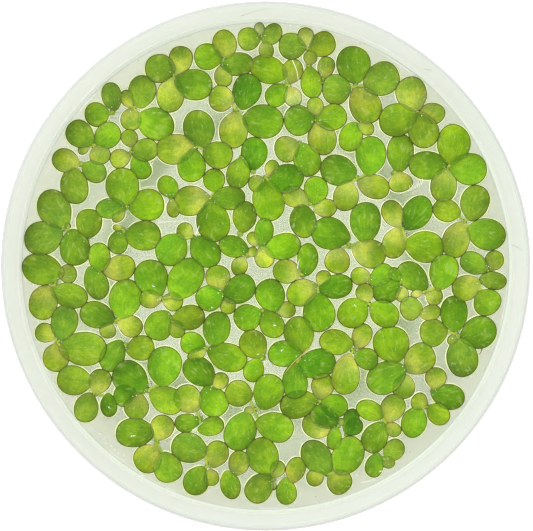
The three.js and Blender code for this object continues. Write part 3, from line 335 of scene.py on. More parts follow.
class Frond:
    """One oval frond: its place and form in the plan, its shade, and its height in the stack."""

    def __init__(self, raft, order, numbers, node, lively):
        base_x, base_y, tip_x, tip_y, width, self.shade = numbers
        self.width = width * FULLNESS
        self.raft = raft
        self.order = order
        self.node = np.array(node)
        self.base = np.array([base_x, base_y])
        run = np.array([tip_x, tip_y]) - self.base
        run = run * (FULLNESS if math.hypot(tip_x, tip_y) < FULL_REACH else 1)
        self.length = float(np.hypot(*run))
        self.along = run / self.length
        self.across = np.array([-self.along[1], self.along[0]])
        self.middle = self.base + run / 2
        self.level = 0
        self.below = []
        self.above = []
        self.seed = lively.random()
        light = 1 + lively.uniform(-LIGHT_STRAY, LIGHT_STRAY)
        warmth = lively.uniform(-WARMTH_STRAY, WARMTH_STRAY) * (YOUNG_WARMTH if self.young() else 1)
        richness = lively.uniform(-RICHNESS_STRAY, RICHNESS_STRAY)
        self.turns = [lively.uniform(0, 2 * math.pi) for _ in range(3)]
        self.tone = self.tint() * light * np.array([1 + warmth, 1, 1 - richness])

    def young(self):
        """Whether it counts as young: grown olive fronds do too, because they lie as low."""
        return self.shade[0] in YOUNG

    def outwards(self):
        """How far out the frond lies: 0 at the bowl's middle, 1 by the wall."""
        return float(np.hypot(*self.middle)) / TINT_REACH

    def tint(self):
        """The frond's colour by its shade and its lean, and deeper towards the bowl's middle."""
        shade = np.array(SHADES[self.shade[0]])
        if len(self.shade) > 1:
            lean = GROWN_LEAN if self.shade in OLIVE_GROWN else LEAN
            shade = blend(shade, SHADES[self.shade[1]], lean)
        out = min(self.outwards(), 1.1) ** 2
        return shade * blend(np.array(CENTRE_TINT), EDGE_TINT, out) / LIGHT_LEVEL

    def base_tone(self):
        return blend(self.tone, PALE_BASE, 0.5) if self.young() else self.tone

    def pale_share(self):
        if self.shade in OLIVE_GROWN:
            return 0
        return PALE_SHARE[self.shade[0]] * (1 - PALE_LOSS * min(self.outwards(), 1) ** 2)

    def tip_share(self):
        return TIP_SHARE if self.shade in ("Y", "P", "PY") else LEANING_TIP_SHARE

    def breadth(self, x):
        """How broad the frond is against an oval: it tapers to its base and swells towards its tip."""
        return (1 + EGG_SHAPE * np.clip(x, -1, 1)) * (1 - BASE_TAPER * smooth(-0.3, -1.0, x))

    def plan(self, x, y):
        """Plan points of places given in the frond's own round: x from base -1 to tip 1, y across."""
        along = self.length / 2 * (1 + x)
        across = self.width / 2 * y * self.breadth(x)
        return self.base + np.outer(along, self.along) + np.outer(across, self.across)

    def round_place(self, points):
        """The same the other way: places in the frond's own round for plan points."""
        away = points - self.base
        x = away @ self.along * 2 / self.length - 1
        y = away @ self.across * 2 / self.width / self.breadth(x)
        return x, y

    def depth(self, points):
        """How far inside the outline each plan point is, in millimetres; less than 0 outside."""
        x, y = self.round_place(points)
        return (1 - np.hypot(x, y)) * (self.width + self.length) / 4

    def floor(self):
        return WATER_LEVEL + FLOAT_GAP + STACK_STEP * self.level


def smooth(low, high, value):
    share = np.clip((value - low) / (high - low), 0, 1)
    return share * share * (3 - 2 * share)


def blend(first, second, share):
    return first * (1 - share) + np.array(second) * share


def shaded(tone, tint, share):
    return tone * (1 - share * (1 - np.array(tint)))


def unit_mesh(name, make):
    bm = bmesh.new()
    make(bm)
    bmesh.ops.recalc_face_normals(bm, faces=bm.faces)
    for face in bm.faces:
        face.smooth = True
    mesh = bpy.data.meshes.new(name)
    bm.to_mesh(mesh)
    bm.free()
    return mesh


def mesh_points(mesh):
    points = np.empty(len(mesh.vertices) * 3)
    mesh.vertices.foreach_get("co", points)
    return points.reshape(-1, 3)


# The unit shapes: a frond, and the web of leaf at a node
unit_frond = unit_mesh("unit_frond", lambda bm: bmesh.ops.create_uvsphere(
    bm, u_segments=FROND_AROUND, v_segments=FROND_RINGS // 2, radius=1))
round_points = mesh_points(unit_frond)
unit_web = unit_mesh("unit_web", lambda bm: bmesh.ops.create_uvsphere(
    bm, u_segments=WEB_AROUND, v_segments=WEB_RINGS, radius=1))
web_points = mesh_points(unit_web)


class Growth:
    """One mesh put together from copies of unit shapes, each copy bent to its own form."""

    def __init__(self):
        self.bm = bmesh.new()
        self.points = []
        self.notes = {}

    def add(self, unit, points, **notes):
        self.bm.from_mesh(unit)
        self.points.append(points)
        for word, values in notes.items():
            self.notes.setdefault(word, []).append(values)

    def piece(self, name, material):
        mesh = bpy.data.meshes.new(name)
        self.bm.to_mesh(mesh)
        self.bm.free()
        mesh.vertices.foreach_set("co", (np.vstack(self.points) * MM).astype(np.float32).ravel())
        kinds = {1: ("FLOAT", "value"), 3: ("FLOAT_VECTOR", "vector"), 4: ("FLOAT_COLOR", "color")}
        for word, values in self.notes.items():
            values = np.vstack(values).astype(np.float32)
            kind, field = kinds[values.shape[1]]
            mesh.attributes.new(word, kind, "POINT").data.foreach_set(field, values.ravel())
        mesh.materials.append(material)
        mesh.update()
        return on_stage(name, mesh)


def on_stage(name, mesh):
    piece = bpy.data.objects.new(name, mesh)
    bpy.context.scene.collection.objects.link(piece)
    return piece


# Node helpers for the materials
class Recipe:
    """A material's node tree, with short ways to add the nodes it needs."""

    def __init__(self, name):
        self.material = bpy.data.materials.new(name)
        self.material.use_nodes = True
        self.tree = self.material.node_tree
        self.surface = self.tree.nodes["Principled BSDF"]
        self.place = self.add("ShaderNodeTexCoord").outputs["Object"]

    def add(self, kind, **settings):
        made = self.tree.nodes.new(kind)
        for word, value in settings.items():
            setattr(made, word, value)
        return made

    def feed(self, socket, value):
        if isinstance(value, bpy.types.NodeSocket):
            self.tree.links.new(value, socket)
        elif isinstance(value, tuple) and len(value) == 3 and socket.type == "RGBA":
            socket.default_value = (*value, 1)
        else:
            socket.default_value = value

    def maths(self, operation, *values):
        made = self.add("ShaderNodeMath", operation=operation)
        for socket, value in zip(made.inputs, values):
            self.feed(socket, value)
        return made.outputs[0]

    def times(self, first, second):
        return self.maths("MULTIPLY", first, second)

    def spread(self, value, low, high, to_low=0.0, to_high=1.0):
        """A share that goes smoothly from one to the other as the value goes from low to high."""
        made = self.add("ShaderNodeMapRange", interpolation_type="SMOOTHSTEP")
        for socket, number in zip(made.inputs, (value, low, high, to_low, to_high)):
            self.feed(socket, number)
        return made.outputs[0]

    def band(self, value, ends, to_low=0.0, to_high=1.0):
        """The same between two lengths in millimetres."""
        return self.spread(value, ends[0] * MM, ends[1] * MM, to_low, to_high)

    def mix(self, share, first, second, blend="MIX"):
        made = self.add("ShaderNodeMix", data_type="RGBA", blend_type=blend)
        self.feed(made.inputs[0], share)
        self.feed(made.inputs[6], first)
        self.feed(made.inputs[7], second)
        return made.outputs[2]

    def tinted(self, colour, share, tint):
        return self.mix(share, colour, tint, "MULTIPLY")

    def noise(self, size, detail=2.0, place=None):
        """Noise whose patches are about that many millimetres across."""
        made = self.add("ShaderNodeTexNoise")
        made.inputs["Scale"].default_value = 1 / (size * MM)
        made.inputs["Detail"].default_value = detail
        self.feed(made.inputs["Vector"], place or self.place)
        return made.outputs["Fac"]

    def cells(self, size):
        made = self.add("ShaderNodeTexVoronoi", feature="F1")
        made.inputs["Scale"].default_value = 1 / (size * MM)
        self.feed(made.inputs["Vector"], self.place)
        return made.outputs["Distance"]

    def note(self, word):
        return self.add("ShaderNodeAttribute", attribute_name=word)

    def bump(self, height, deep, strength=1.0):
        made = self.add("ShaderNodeBump")
        made.inputs["Strength"].default_value = strength
        made.inputs["Distance"].default_value = deep * MM
        self.feed(made.inputs["Height"], height)
        self.feed(self.surface.inputs["Normal"], made.outputs[0])

    def set(self, **values):
        for word, value in values.items():
            self.feed(self.surface.inputs[word.replace("_", " ")], value)
        return self.material


# The frond's skin: tints that multiply its tone, colours laid over it, and its patterns' scales
YELLOW_PATCH = (1.16, 1.12, 0.95)
GREEN_PATCH = (0.82, 0.91, 1.0)
CLOUD_TINT = (0.74, 0.84, 0.6)
GRAIN_TINT = (1.45, 1.32, 2.8)
CELL_TINT = (0.6, 0.74, 0.5)
DARK_STREAK = (0.72, 0.82, 0.6)
RIB_TINT = (1.4, 1.32, 1.6)
NEAR_RIM_TINT = (1.1, 0.95, 1.6)
LOWER_RIM_TINT = (0.5, 0.62, 0.4)
NODE_GRAIN_TINT = (0.62, 0.8, 0.5)
BUBBLE = srgb(226, 242, 190)
AIR_STREAK = srgb(204, 232, 132)
GLINT = srgb(190, 216, 118)
RIM_GREEN = srgb(70, 88, 22)
RIM_BROWN = srgb(98, 80, 40)
RIBS_ACROSS = 3.5
FAN_TURNS = 8.0
FAN_RUNS = 2.4
FAN_SEEDS = 40.0
PLAIN_SCALE = 1000


def frond_places(leaf):
    """The place in the frond's own round, the frond's seed, and the object's place moved by that seed."""
    where = leaf.add("ShaderNodeSeparateXYZ")
    leaf.feed(where.inputs[0], leaf.note("leaf_place").outputs["Vector"])
    x, y, seed = where.outputs
    move = leaf.add("ShaderNodeCombineXYZ")
    leaf.feed(move.inputs["Z"], seed)
    own = leaf.add("ShaderNodeVectorMath", operation="ADD")
    leaf.feed(own.inputs[0], leaf.place)
    leaf.feed(own.inputs[1], move.outputs[0])
    return x, y, seed, own.outputs[0]


def ribs(leaf, x, y, clouds):
    """Faint ribs from base to tip, closer together where the frond narrows."""
    half_width = leaf.maths("SQRT", leaf.maths("MAXIMUM", leaf.maths(
        "SUBTRACT", 1.03, leaf.times(x, x)), 0.02))
    place = leaf.maths("ADD", leaf.times(leaf.maths("DIVIDE", y, half_width), RIBS_ACROSS),
                       leaf.times(clouds, 0.5))
    return leaf.spread(leaf.maths("PINGPONG", place, 0.5), 0.34, 0.5)


def fan(leaf, x, y, seed):
    """Noise drawn out into streaks that fan out from just behind the frond's base."""
    ahead = leaf.maths("ADD", x, 1.15)
    away = leaf.maths("SQRT", leaf.maths(
        "ADD", leaf.times(ahead, ahead), leaf.times(y, y)))
    place = leaf.add("ShaderNodeCombineXYZ")
    leaf.feed(place.inputs[0], leaf.times(leaf.maths("ARCTAN2", y, ahead), FAN_TURNS))
    leaf.feed(place.inputs[1], leaf.times(away, FAN_RUNS))
    leaf.feed(place.inputs[2], leaf.times(seed, FAN_SEEDS))
    return leaf.noise(PLAIN_SCALE, 3.0, place.outputs[0])


def leaf_material():
    """Frond skin: patches, mottling, streaks and ribs over the tone, partly painted glints, painted overlap
    shade, bubbles by the node, a dark rim.
    """
    leaf = Recipe("duckweed_leaf")
    x, y, seed, own = frond_places(leaf)
    under_gap = leaf.note("under_gap").outputs["Fac"]
    rim_gap = leaf.note("rim_gap").outputs["Fac"]
    by_node = leaf.note("by_node").outputs["Fac"]
    patches = leaf.noise(3.4, 1.0, own)
    clouds = leaf.noise(0.9, 3.0, own)
    grain = leaf.noise(0.3, 2.0, own)
    rib = ribs(leaf, x, y, clouds)
    streaks = fan(leaf, x, y, seed)

    # Where the frond lies over another it shows the painted shade of the overlap
    tone = leaf.mix(leaf.spread(under_gap, -0.05, 0.3), leaf.note("tone").outputs["Color"],
                    leaf.note("seen_through").outputs["Color"])
    colour = leaf.mix(leaf.spread(patches, 0.38, 0.62), leaf.tinted(tone, 1.0, YELLOW_PATCH),
                      leaf.tinted(tone, 1.0, GREEN_PATCH))
    colour = leaf.tinted(colour, leaf.spread(clouds, 0.42, 0.62, 0.0, 0.65), CLOUD_TINT)
    colour = leaf.tinted(colour, leaf.spread(grain, 0.48, 0.68, 0.0, 0.65), GRAIN_TINT)
    colour = leaf.tinted(colour, leaf.spread(leaf.cells(0.36), 0.42, 0.1, 0.0, 0.28), CELL_TINT)

    # Pale streaks fanning from the base: partly pale veins, partly painted glints
    glint = leaf.times(leaf.spread(streaks, 0.52, 0.72, 0.0, 0.4),
                       leaf.spread(patches, 0.56, 0.44))
    colour = leaf.mix(glint, colour, GLINT)
    air = leaf.times(leaf.spread(streaks, 0.57, 0.64), leaf.spread(clouds, 0.5, 0.58))
    air = leaf.times(air, leaf.spread(patches, 0.48, 0.58, 0.0, 0.38))
    colour = leaf.mix(air, colour, AIR_STREAK)
    colour = leaf.tinted(colour, leaf.spread(streaks, 0.46, 0.3, 0.0, 0.3), DARK_STREAK)
    colour = leaf.tinted(colour, leaf.times(rib, 0.3), RIB_TINT)

    colour = leaf.tinted(colour, leaf.spread(rim_gap, 1.0, 0.35), NEAR_RIM_TINT)
    # The lower frond's outline shows as a darker line in the painted shade of the overlap
    lower_rim = leaf.maths("ABSOLUTE", leaf.maths("SUBTRACT", under_gap, 0.12))
    colour = leaf.tinted(colour, leaf.spread(lower_rim, 0.26, 0.06, 0.0, 0.45), LOWER_RIM_TINT)
    node_grain = leaf.times(leaf.spread(grain, 0.4, 0.62), by_node)
    colour = leaf.tinted(colour, node_grain, NODE_GRAIN_TINT)
    bubble = leaf.times(leaf.spread(leaf.cells(0.8), 0.17, 0.1), leaf.spread(by_node, 0.3, 0.6))
    colour = leaf.mix(leaf.times(bubble, leaf.spread(clouds, 0.48, 0.56)), colour, BUBBLE)

    rim = leaf.spread(rim_gap, 0.25, 0.13, 0.0, 0.88)
    rim = leaf.times(rim, leaf.spread(x, -0.95, -0.55, 0.1, 1.0))
    rim = leaf.times(rim, leaf.spread(by_node, 0.75, 0.3, 0.15, 1.0))
    rim = leaf.times(rim, leaf.spread(under_gap, -0.1, 0.5, 1.0, 0.55))
    colour = leaf.mix(rim, colour, leaf.mix(leaf.spread(clouds, 0.4, 0.66), RIM_GREEN, RIM_BROWN))
    leaf.bump(leaf.maths("ADD", leaf.times(rib, 0.5), grain), 0.05)
    return leaf.set(Base_Color=colour, Roughness=0.45, Specular_IOR_Level=0.15)


# Painted light: the skirts glow a little over their bright tones
SKIRT_GLOW = 0.5
SKIRT_SHADOW = (0.8, 0.86, 0.72)


def rim_water_material():
    """The bright skirt of water that climbs each frond's edge, and the line of water at the wall, both
    painted light: bright tones that glow.
    """
    skirt = Recipe("water_skirt")
    colour = skirt.tinted(skirt.note("tone").outputs["Color"],
                          skirt.spread(skirt.noise(0.6), 0.5, 0.75, 0.0, 0.3), SKIRT_SHADOW)
    return skirt.set(Base_Color=colour, Roughness=0.25, Specular_IOR_Level=0.3, Emission_Color=colour,
                     Emission_Strength=SKIRT_GLOW)


# The bowl's tones, and between which radii or heights each takes over from the one before. They are painted
# light and shade: the floor darker and darkest in the middle, the wall under the water brighter, the lip and
# its outer edge darker, and a faint glow on the inside wall up to the waterline
BOWL_SHADED_CENTRE = (0.40, 0.49, 0.34)
BOWL_SHADED_FLOOR = (0.50, 0.58, 0.43)
FLOOR_RADII = (8, 36)
BOWL_LIT_UNDER_WATER = (0.88, 0.93, 0.74)
WET_HEIGHTS = (12, 30)
BOWL_RIM = (0.67, 0.73, 0.65)
DRY_HEIGHTS = (37.0, 38.8)
BOWL_SHADED_LIP = (0.50, 0.55, 0.50)
LIP_HEIGHTS = (RIM_HEIGHT - 0.4, RIM_HEIGHT - 0.05)
BOWL_EDGE_SHADE = (0.36, 0.37, 0.36)
EDGE_RADII = (RIM_RADIUS - 0.9, RIM_RADIUS - 0.5)
EDGE_HEIGHTS = (RIM_HEIGHT - 1.6, RIM_HEIGHT - 1.1)
BOWL_OUTSIDE = (0.86, 0.89, 0.84)
CLOUDY_TINT = (0.93, 0.95, 0.92)
SCUFF_TINT = (0.82, 0.86, 0.80)
WALL_LIGHT = (0.8, 1.0, 0.42)
WALL_GLOW = 0.1
GLOW_STARTS = (14, 26)
GLOW_ENDS = (38.2, 36.9)
PLASTIC_DEPTH = (0.016, 0.016, 0.014)


def bowl_material():
    """Milky white plastic, a little see-through, with a trace of green and fine scuffs, and painted light
    and shade by radius and height.
    """
    plastic = Recipe("milky_plastic")
    cloud = plastic.noise(14.0, 3.0)
    scuff = plastic.noise(0.35, 3.0)
    spot = plastic.add("ShaderNodeSeparateXYZ")
    plastic.feed(spot.inputs[0], plastic.place)
    x, y, height = spot.outputs
    out = plastic.maths("SQRT", plastic.maths(
        "ADD", plastic.maths("POWER", x, 2.0), plastic.maths("POWER", y, 2.0)))
    inside = plastic.note("inside").outputs["Fac"]
    # Painted light and shade: darker floor, darkest in the middle, brighter wall under the water, darker lip
    # and outer edge
    colour = plastic.mix(plastic.band(out, FLOOR_RADII), BOWL_SHADED_CENTRE, BOWL_SHADED_FLOOR)
    colour = plastic.mix(plastic.band(height, WET_HEIGHTS), colour, BOWL_LIT_UNDER_WATER)
    colour = plastic.mix(plastic.band(height, DRY_HEIGHTS), colour, BOWL_RIM)
    colour = plastic.mix(plastic.band(height, LIP_HEIGHTS), colour, BOWL_SHADED_LIP)
    colour = plastic.mix(inside, BOWL_OUTSIDE, colour)
    edge = plastic.times(plastic.band(out, EDGE_RADII), plastic.band(height, EDGE_HEIGHTS))
    colour = plastic.mix(edge, colour, BOWL_EDGE_SHADE)
    colour = plastic.tinted(colour, plastic.spread(cloud, 0.35, 0.65, 0.0, 0.5), CLOUDY_TINT)
    worn = plastic.times(plastic.spread(scuff, 0.55, 0.8, 0.0, 0.3),
                         plastic.band(height, WET_HEIGHTS, 0.1, 1.0))
    colour = plastic.tinted(colour, worn, SCUFF_TINT)
    # Painted light: a faint glow on the inside wall up to the waterline
    glow = plastic.times(plastic.band(height, GLOW_STARTS, 0.0, WALL_GLOW),
                         plastic.band(height, GLOW_ENDS))
    glow = plastic.times(glow, inside)
    plastic.bump(scuff, 0.02, 0.2)
    plastic.surface.subsurface_method = "RANDOM_WALK"
    return plastic.set(
        Base_Color=colour, Roughness=0.5, Specular_IOR_Level=0.12,
        Emission_Color=WALL_LIGHT, Emission_Strength=glow,
        Subsurface_Weight=1.0, Subsurface_Radius=PLASTIC_DEPTH, Subsurface_Scale=1.0)


WATER_STAIN = (0.92, 0.97, 0.72)
WATER_DENSITY = 5.0
WATER_IOR = 1.333


def water_material():
    """Pond water: clear, with a faint green stain that shows in its depth."""
    water = Recipe("pond_water")
    water.bump(water.noise(6.0, 2.0), 0.08, 0.5)
    stain = water.add("ShaderNodeVolumeAbsorption")
    stain.inputs["Color"].default_value = (*WATER_STAIN, 1)
    stain.inputs["Density"].default_value = WATER_DENSITY
    water.tree.links.new(stain.outputs[0], water.tree.nodes["Material Output"].inputs["Volume"])
    return water.set(Base_Color=(1.0, 1.0, 1.0), Roughness=0.0, IOR=WATER_IOR, Transmission_Weight=1.0)


ROOT_TOP = srgb(232, 234, 204)
ROOT_END = srgb(196, 182, 140)
ROOT_STREAK = (0.7, 0.7, 0.6)


def root_material():
    """Hair roots: pale and greenish by the plant, brown lower down."""
    root = Recipe("hair_root")
    colour = root.mix(root.note("down").outputs["Fac"], ROOT_TOP, ROOT_END)
    colour = root.tinted(colour, root.spread(root.noise(0.8, 2.0), 0.4, 0.7, 0.0, 0.4), ROOT_STREAK)
    return root.set(Base_Color=colour, Roughness=0.6)


# Painted light: every loose bit glows a little so that the white ones stay bright
THREAD_GLOW = 0.45
FIBRE_TINT = (0.6, 0.6, 0.55)


def thread_material():
    """Loose root threads, hairs and bits on the water and the rim, with a faint painted glow."""
    thread = Recipe("loose_thread")
    colour = thread.tinted(thread.note("tone").outputs["Color"],
                           thread.spread(thread.noise(0.4, 2.0), 0.4, 0.7, 0.0, 0.4), FIBRE_TINT)
    return thread.set(Base_Color=colour, Roughness=0.45, Specular_IOR_Level=0.3, Emission_Color=colour,
                      Emission_Strength=THREAD_GLOW)


# The bowl and the water
def curve_through(points, steps):
    """Points of a smooth curve through those given, with that many steps between each two."""
    points = [np.array(point, float) for point in points]
    ends = [2 * points[0] - points[1], *points, 2 * points[-1] - points[-2]]
    out = []
    for a, b, c, d in zip(ends, ends[1:], ends[2:], ends[3:]):
        for step in range(steps):
            t = step / steps
            out.append(0.5 * (2 * b + (c - a) * t + (2 * a - 5 * b + 4 * c - d) * t * t
                              + (3 * b - a - 3 * c + d) * t ** 3))
    out.append(points[-1])
    return out


def turned(name, profile, material):
    """A solid of revolution about the bowl's axis, from its profile of radius and height."""
    bm = bmesh.new()
    corners = [bm.verts.new((radius * MM, 0, height * MM)) for radius, height in profile]
    edges = [bm.edges.new(pair) for pair in zip(corners, corners[1:])]
    bmesh.ops.spin(bm, geom=corners + edges, axis=(0, 0, 1), cent=(0, 0, 0), angle=2 * math.pi,
                   steps=TURN_STEPS, use_merge=True)
    bmesh.ops.remove_doubles(bm, verts=bm.verts, dist=1e-7)
    bmesh.ops.recalc_face_normals(bm, faces=bm.faces)
    for face in bm.faces:
        face.smooth = True
    mesh = bpy.data.meshes.new(name)
    bm.to_mesh(mesh)
    bm.free()
    mesh.materials.append(material)
    return on_stage(name, mesh)


CURVE_STEPS = 8
LIP_STEPS = 14
floor_top = FOOT_HEIGHT + FLOOR_THICKNESS
foot_inside = FOOT_RADIUS - FOOT_WIDTH
inner_curve = curve_through(INNER_WALL, CURVE_STEPS)
outer_curve = curve_through(OUTER_WALL, CURVE_STEPS)
lip_radius = WALL / 2
lip_x, lip_z = RIM_RADIUS - lip_radius, RIM_HEIGHT - lip_radius
lip = [
    (lip_x + lip_radius * math.cos(turn), lip_z + lip_radius * math.sin(turn))
    for turn in np.linspace(0, math.pi, LIP_STEPS + 1)[1:-1]
]
bowl_profile = [
    (0, floor_top), (12, floor_top), (24, floor_top), *inner_curve[::-1], *lip[::-1], *outer_curve[::-1],
    (FOOT_RADIUS - 0.5, 0.0), (foot_inside + 0.4, 0.0), (foot_inside, 0.4), (foot_inside, FOOT_HEIGHT - 0.3),
    (foot_inside - 0.4, FOOT_HEIGHT), (20, FOOT_HEIGHT), (0, FOOT_HEIGHT),
]
bowl = turned("bowl_shell", bowl_profile, bowl_material())
wall_radii, wall_heights = np.array(inner_curve[::-1]).T
outer_radii, outer_heights = np.array(outer_curve).T
bowl_x, bowl_y, bowl_heights = (mesh_points(bowl.data) / MM).T
middle_radii = (np.interp(bowl_heights, wall_heights, wall_radii)
                + np.interp(bowl_heights, outer_heights, outer_radii)) / 2
inside = (np.hypot(bowl_x, bowl_y) < middle_radii) & (bowl_heights > floor_top - 0.1)
inside |= bowl_heights > RIM_HEIGHT - WALL * 0.45
bowl.data.attributes.new("inside", "FLOAT", "POINT").data.foreach_set("value", inside.astype(np.float32))
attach(bowl, "root")
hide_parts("bowl")


def wall_at(height):
    return float(np.interp(height, wall_heights, wall_radii))


# The water: how high and how far in it climbs the wall, and how deep it lies in the plastic it touches
EDGE_CLIMB = 0.15
EDGE_REACH = 0.9
TOUCH = 0.04
water_side = [
    (radius + TOUCH, height - TOUCH) for radius, height in zip(wall_radii, wall_heights)
    if height < WATER_LEVEL + EDGE_CLIMB - 0.4
]
edge_radius = wall_at(WATER_LEVEL + EDGE_CLIMB) + TOUCH
water_top = [
    (edge_radius - away, WATER_LEVEL + EDGE_CLIMB * math.exp(-away / EDGE_REACH))
    for away in (0, 0.15, 0.35, 0.6, 0.9, 1.3, 1.8, 2.4, 3.2, 4.5, 6.5, 10)
]
water_profile = [
    (0, floor_top - TOUCH), (20, floor_top - TOUCH), *water_side, *water_top,
    (30, WATER_LEVEL), (14, WATER_LEVEL), (0, WATER_LEVEL),
]
water = turned("pond_water", water_profile, water_material())
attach(water, "root")
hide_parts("water")

# The fronds in their stacking order: those that count as young lie under the others of their raft
lively = random.Random(7)
fronds = []
for raft_number, raft in enumerate(RAFTS, 1):
    mine = [
        Frond(raft_number, order, numbers, (node_x, node_y), lively)
        for node_x, node_y, leaves in raft for order, numbers in enumerate(leaves)
    ]
    mine.sort(key=lambda frond: (not frond.young(), frond.order))
    fronds.extend(mine)

probe = round_points[round_points[:, 2] > -0.01][:, :2] * 0.97
for number, frond in enumerate(fronds):
    points = frond.plan(probe[:, 0], probe[:, 1])
    for other in fronds[:number]:
        if np.hypot(*(other.middle - frond.middle)) > (other.length + frond.length) / 2 + FAR_GAP:
            continue
        deepest = float(other.depth(points).max())
        if deepest > OVERLAP_DEPTH:
            frond.level = max(frond.level, other.level + 1)
            frond.below.append(other)
        if deepest > -CONTACT_GAP:
            other.above.append(frond)


def skin_tone(frond, x, y, dome):
    """The frond's tone at each point: pale base and green tip if young, and painted light to one side and on
    top.
    """
    tone = np.tile(frond.tone, (len(x), 1))
    if frond.young():
        pale = smooth(0.6, -0.7, x)[:, None] * frond.pale_share()
        green = smooth(-0.2, 0.9, x)[:, None] * frond.tip_share()
        tone = blend(tone, np.array(PALE_BASE) / LIGHT_LEVEL, pale)
        tone = blend(tone, np.array(TIP_GREEN) / LIGHT_LEVEL, green)
    lean = frond.turns[0]
    across = x * math.cos(lean) + y * math.sin(lean)
    return tone * (SKIN_LIGHT + SIDE_LIGHT * across + TOP_LIGHT * dome)[:, None]


def lens_tone(frond, tone, plan, rim_gap):
    """What shows where the frond lies over others, painted darker as shade, and how far inside their
    outlines each point is.
    """
    seen_through = tone * np.array(OVERLAP_SHADE)
    under_gap = np.full(len(plan), -CLEAR_GAP)
    for other in frond.below:
        depth = other.depth(plan)
        deeper = depth > under_gap
        edge = smooth(0.9, 0.1, rim_gap)[deeper, None] * LENS_EDGE_SHARE
        lens = blend(tone[deeper], other.tone, LENS_SHARE) * np.array(OVERLAP_SHADE)
        seen_through[deeper] = blend(lens, other.base_tone(), edge)
        under_gap = np.maximum(under_gap, depth)
    return seen_through, under_gap


def add_frond(growth, frond):
    """The unit frond bent to this frond's outline and swell, with its tones and gaps at each point."""
    x, y, z = round_points.T
    radius = np.hypot(x, y)
    turn = np.arctan2(y, x)
    swell = 1 + WOBBLE * radius * sum(
        np.sin(turn * (2 + i) + frond.turns[i]) / (1 + 0.4 * i) for i in range(3))
    plan = frond.plan(x * swell, y * swell)
    dome = np.maximum(1 - radius ** 2, 0)
    height = np.where(z >= 0, CROWN * dome ** 0.4, -EDGE_THICKNESS * dome ** 0.5) + frond.floor()
    rim_gap = (1 - radius) * (frond.width + frond.length) / 4
    tone = skin_tone(frond, x, y, dome)
    seen_through, under_gap = lens_tone(frond, tone, plan, rim_gap)
    near_node = smooth(NODE_REACH, 0.3, np.hypot(*(plan - frond.node).T))[:, None]
    if not frond.young():
        tone = shaded(tone, NODE_TINT, NODE_SHARE * near_node)
    # Painted shadow on this frond along the edge of each frond above it
    for other in frond.above:
        share = smooth(CONTACT_REACH, 0.0, -other.depth(plan))[:, None]
        tone = shaded(tone, CONTACT_SHADOW, share * (YOUNG_CONTACT if frond.young() else GROWN_CONTACT))
    tone = blend(tone, UNDERSIDE, (z < -0.02)[:, None] * UNDERSIDE_SHARE)
    full = np.ones(len(x))
    growth.add(
        unit_frond, np.column_stack([plan, height]),
        tone=np.column_stack([tone, full]), seen_through=np.column_stack([seen_through, full]),
        leaf_place=np.column_stack([x, y, full * frond.seed]),
        by_node=near_node, under_gap=under_gap[:, None], rim_gap=rim_gap[:, None])


def add_web(growth, plan, level, tone, by_node, seed):
    """A small lens of leaf with no rim line: the web at a node, or the stalk from it to a frond."""
    wx, wy, wz = web_points.T
    full = np.ones((len(wx), 1))
    growth.add(
        unit_web, np.column_stack([plan, level + WEB_THICKNESS * wz]),
        tone=full * (*tone, 1), seen_through=full * (*tone, 1), under_gap=full * -CLEAR_GAP,
        leaf_place=np.column_stack([wx * 0.1, wy * 0.1, full * seed]),
        by_node=full * by_node, rim_gap=full * CLEAR_GAP)


def add_stalk(growth, frond):
    """The short pale stalk that joins a frond to its node."""
    stalk_end = frond.base + frond.along * min(0.9, 0.25 * frond.length)
    run = stalk_end - frond.node
    reach = max(float(np.hypot(*run)), 0.3)
    run = run / reach
    side = np.array([-run[1], run[0]])
    plan = ((frond.node + stalk_end) / 2 + np.outer(web_points[:, 0] * (reach / 2 + 0.25), run)
            + np.outer(web_points[:, 1] * min(STALK_HALF_WIDTH, 0.16 * frond.width), side))
    add_web(growth, plan, frond.floor(), blend(frond.tone, PALE_BASE, STALK_PALE), 0.35, frond.seed)


leaf = leaf_material()
for raft_number, raft in enumerate(RAFTS, 1):
    growth = Growth()
    for node_x, node_y, leaves in raft:
        plan = web_points[:, :2] * WEB_RADIUS + (node_x, node_y)
        add_web(growth, plan, WATER_LEVEL + WEB_LIFT, np.array(WEB_TONE) / LIGHT_LEVEL, 0.8, lively.random())
    for frond in fronds:
        if frond.raft == raft_number:
            add_frond(growth, frond)
            add_stalk(growth, frond)
    node = f"duckweed_{raft_number:02d}"
    piece = growth.piece(f"colony_{raft_number:02d}", leaf)
    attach(piece, "root")
    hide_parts(node)

# The skirt of water round each frond: the reach and height of its three rings, and its tones, painted bright
# as light gathered at the frond's edge
SKIRT_REACHES = (-0.12, -0.02, 0.26)
SKIRT_HEIGHTS = (0.005, 0.5 * FLOAT_GAP, 0.012)
YOUNG_SKIRT = srgb(246, 252, 204)
GROWN_SKIRT = srgb(242, 255, 180)
OUTER_SKIRT = srgb(202, 215, 166)


def make_skirt(bm):
    """A ring with a three-cornered section: under the frond's edge, at its edge, and out on the water."""
    rings = []
    for level in range(3):
        made = bmesh.ops.create_circle(bm, segments=FROND_AROUND, radius=1)["verts"]
        for corner in made:
            corner.co.z = level
        rings.append(made)
    loops = [[edge for edge in bm.edges if all(corner in ring for corner in edge.verts)] for ring in rings]
    for first, second in ((0, 1), (1, 2), (2, 0)):
        bmesh.ops.bridge_loops(bm, edges=loops[first] + loops[second])


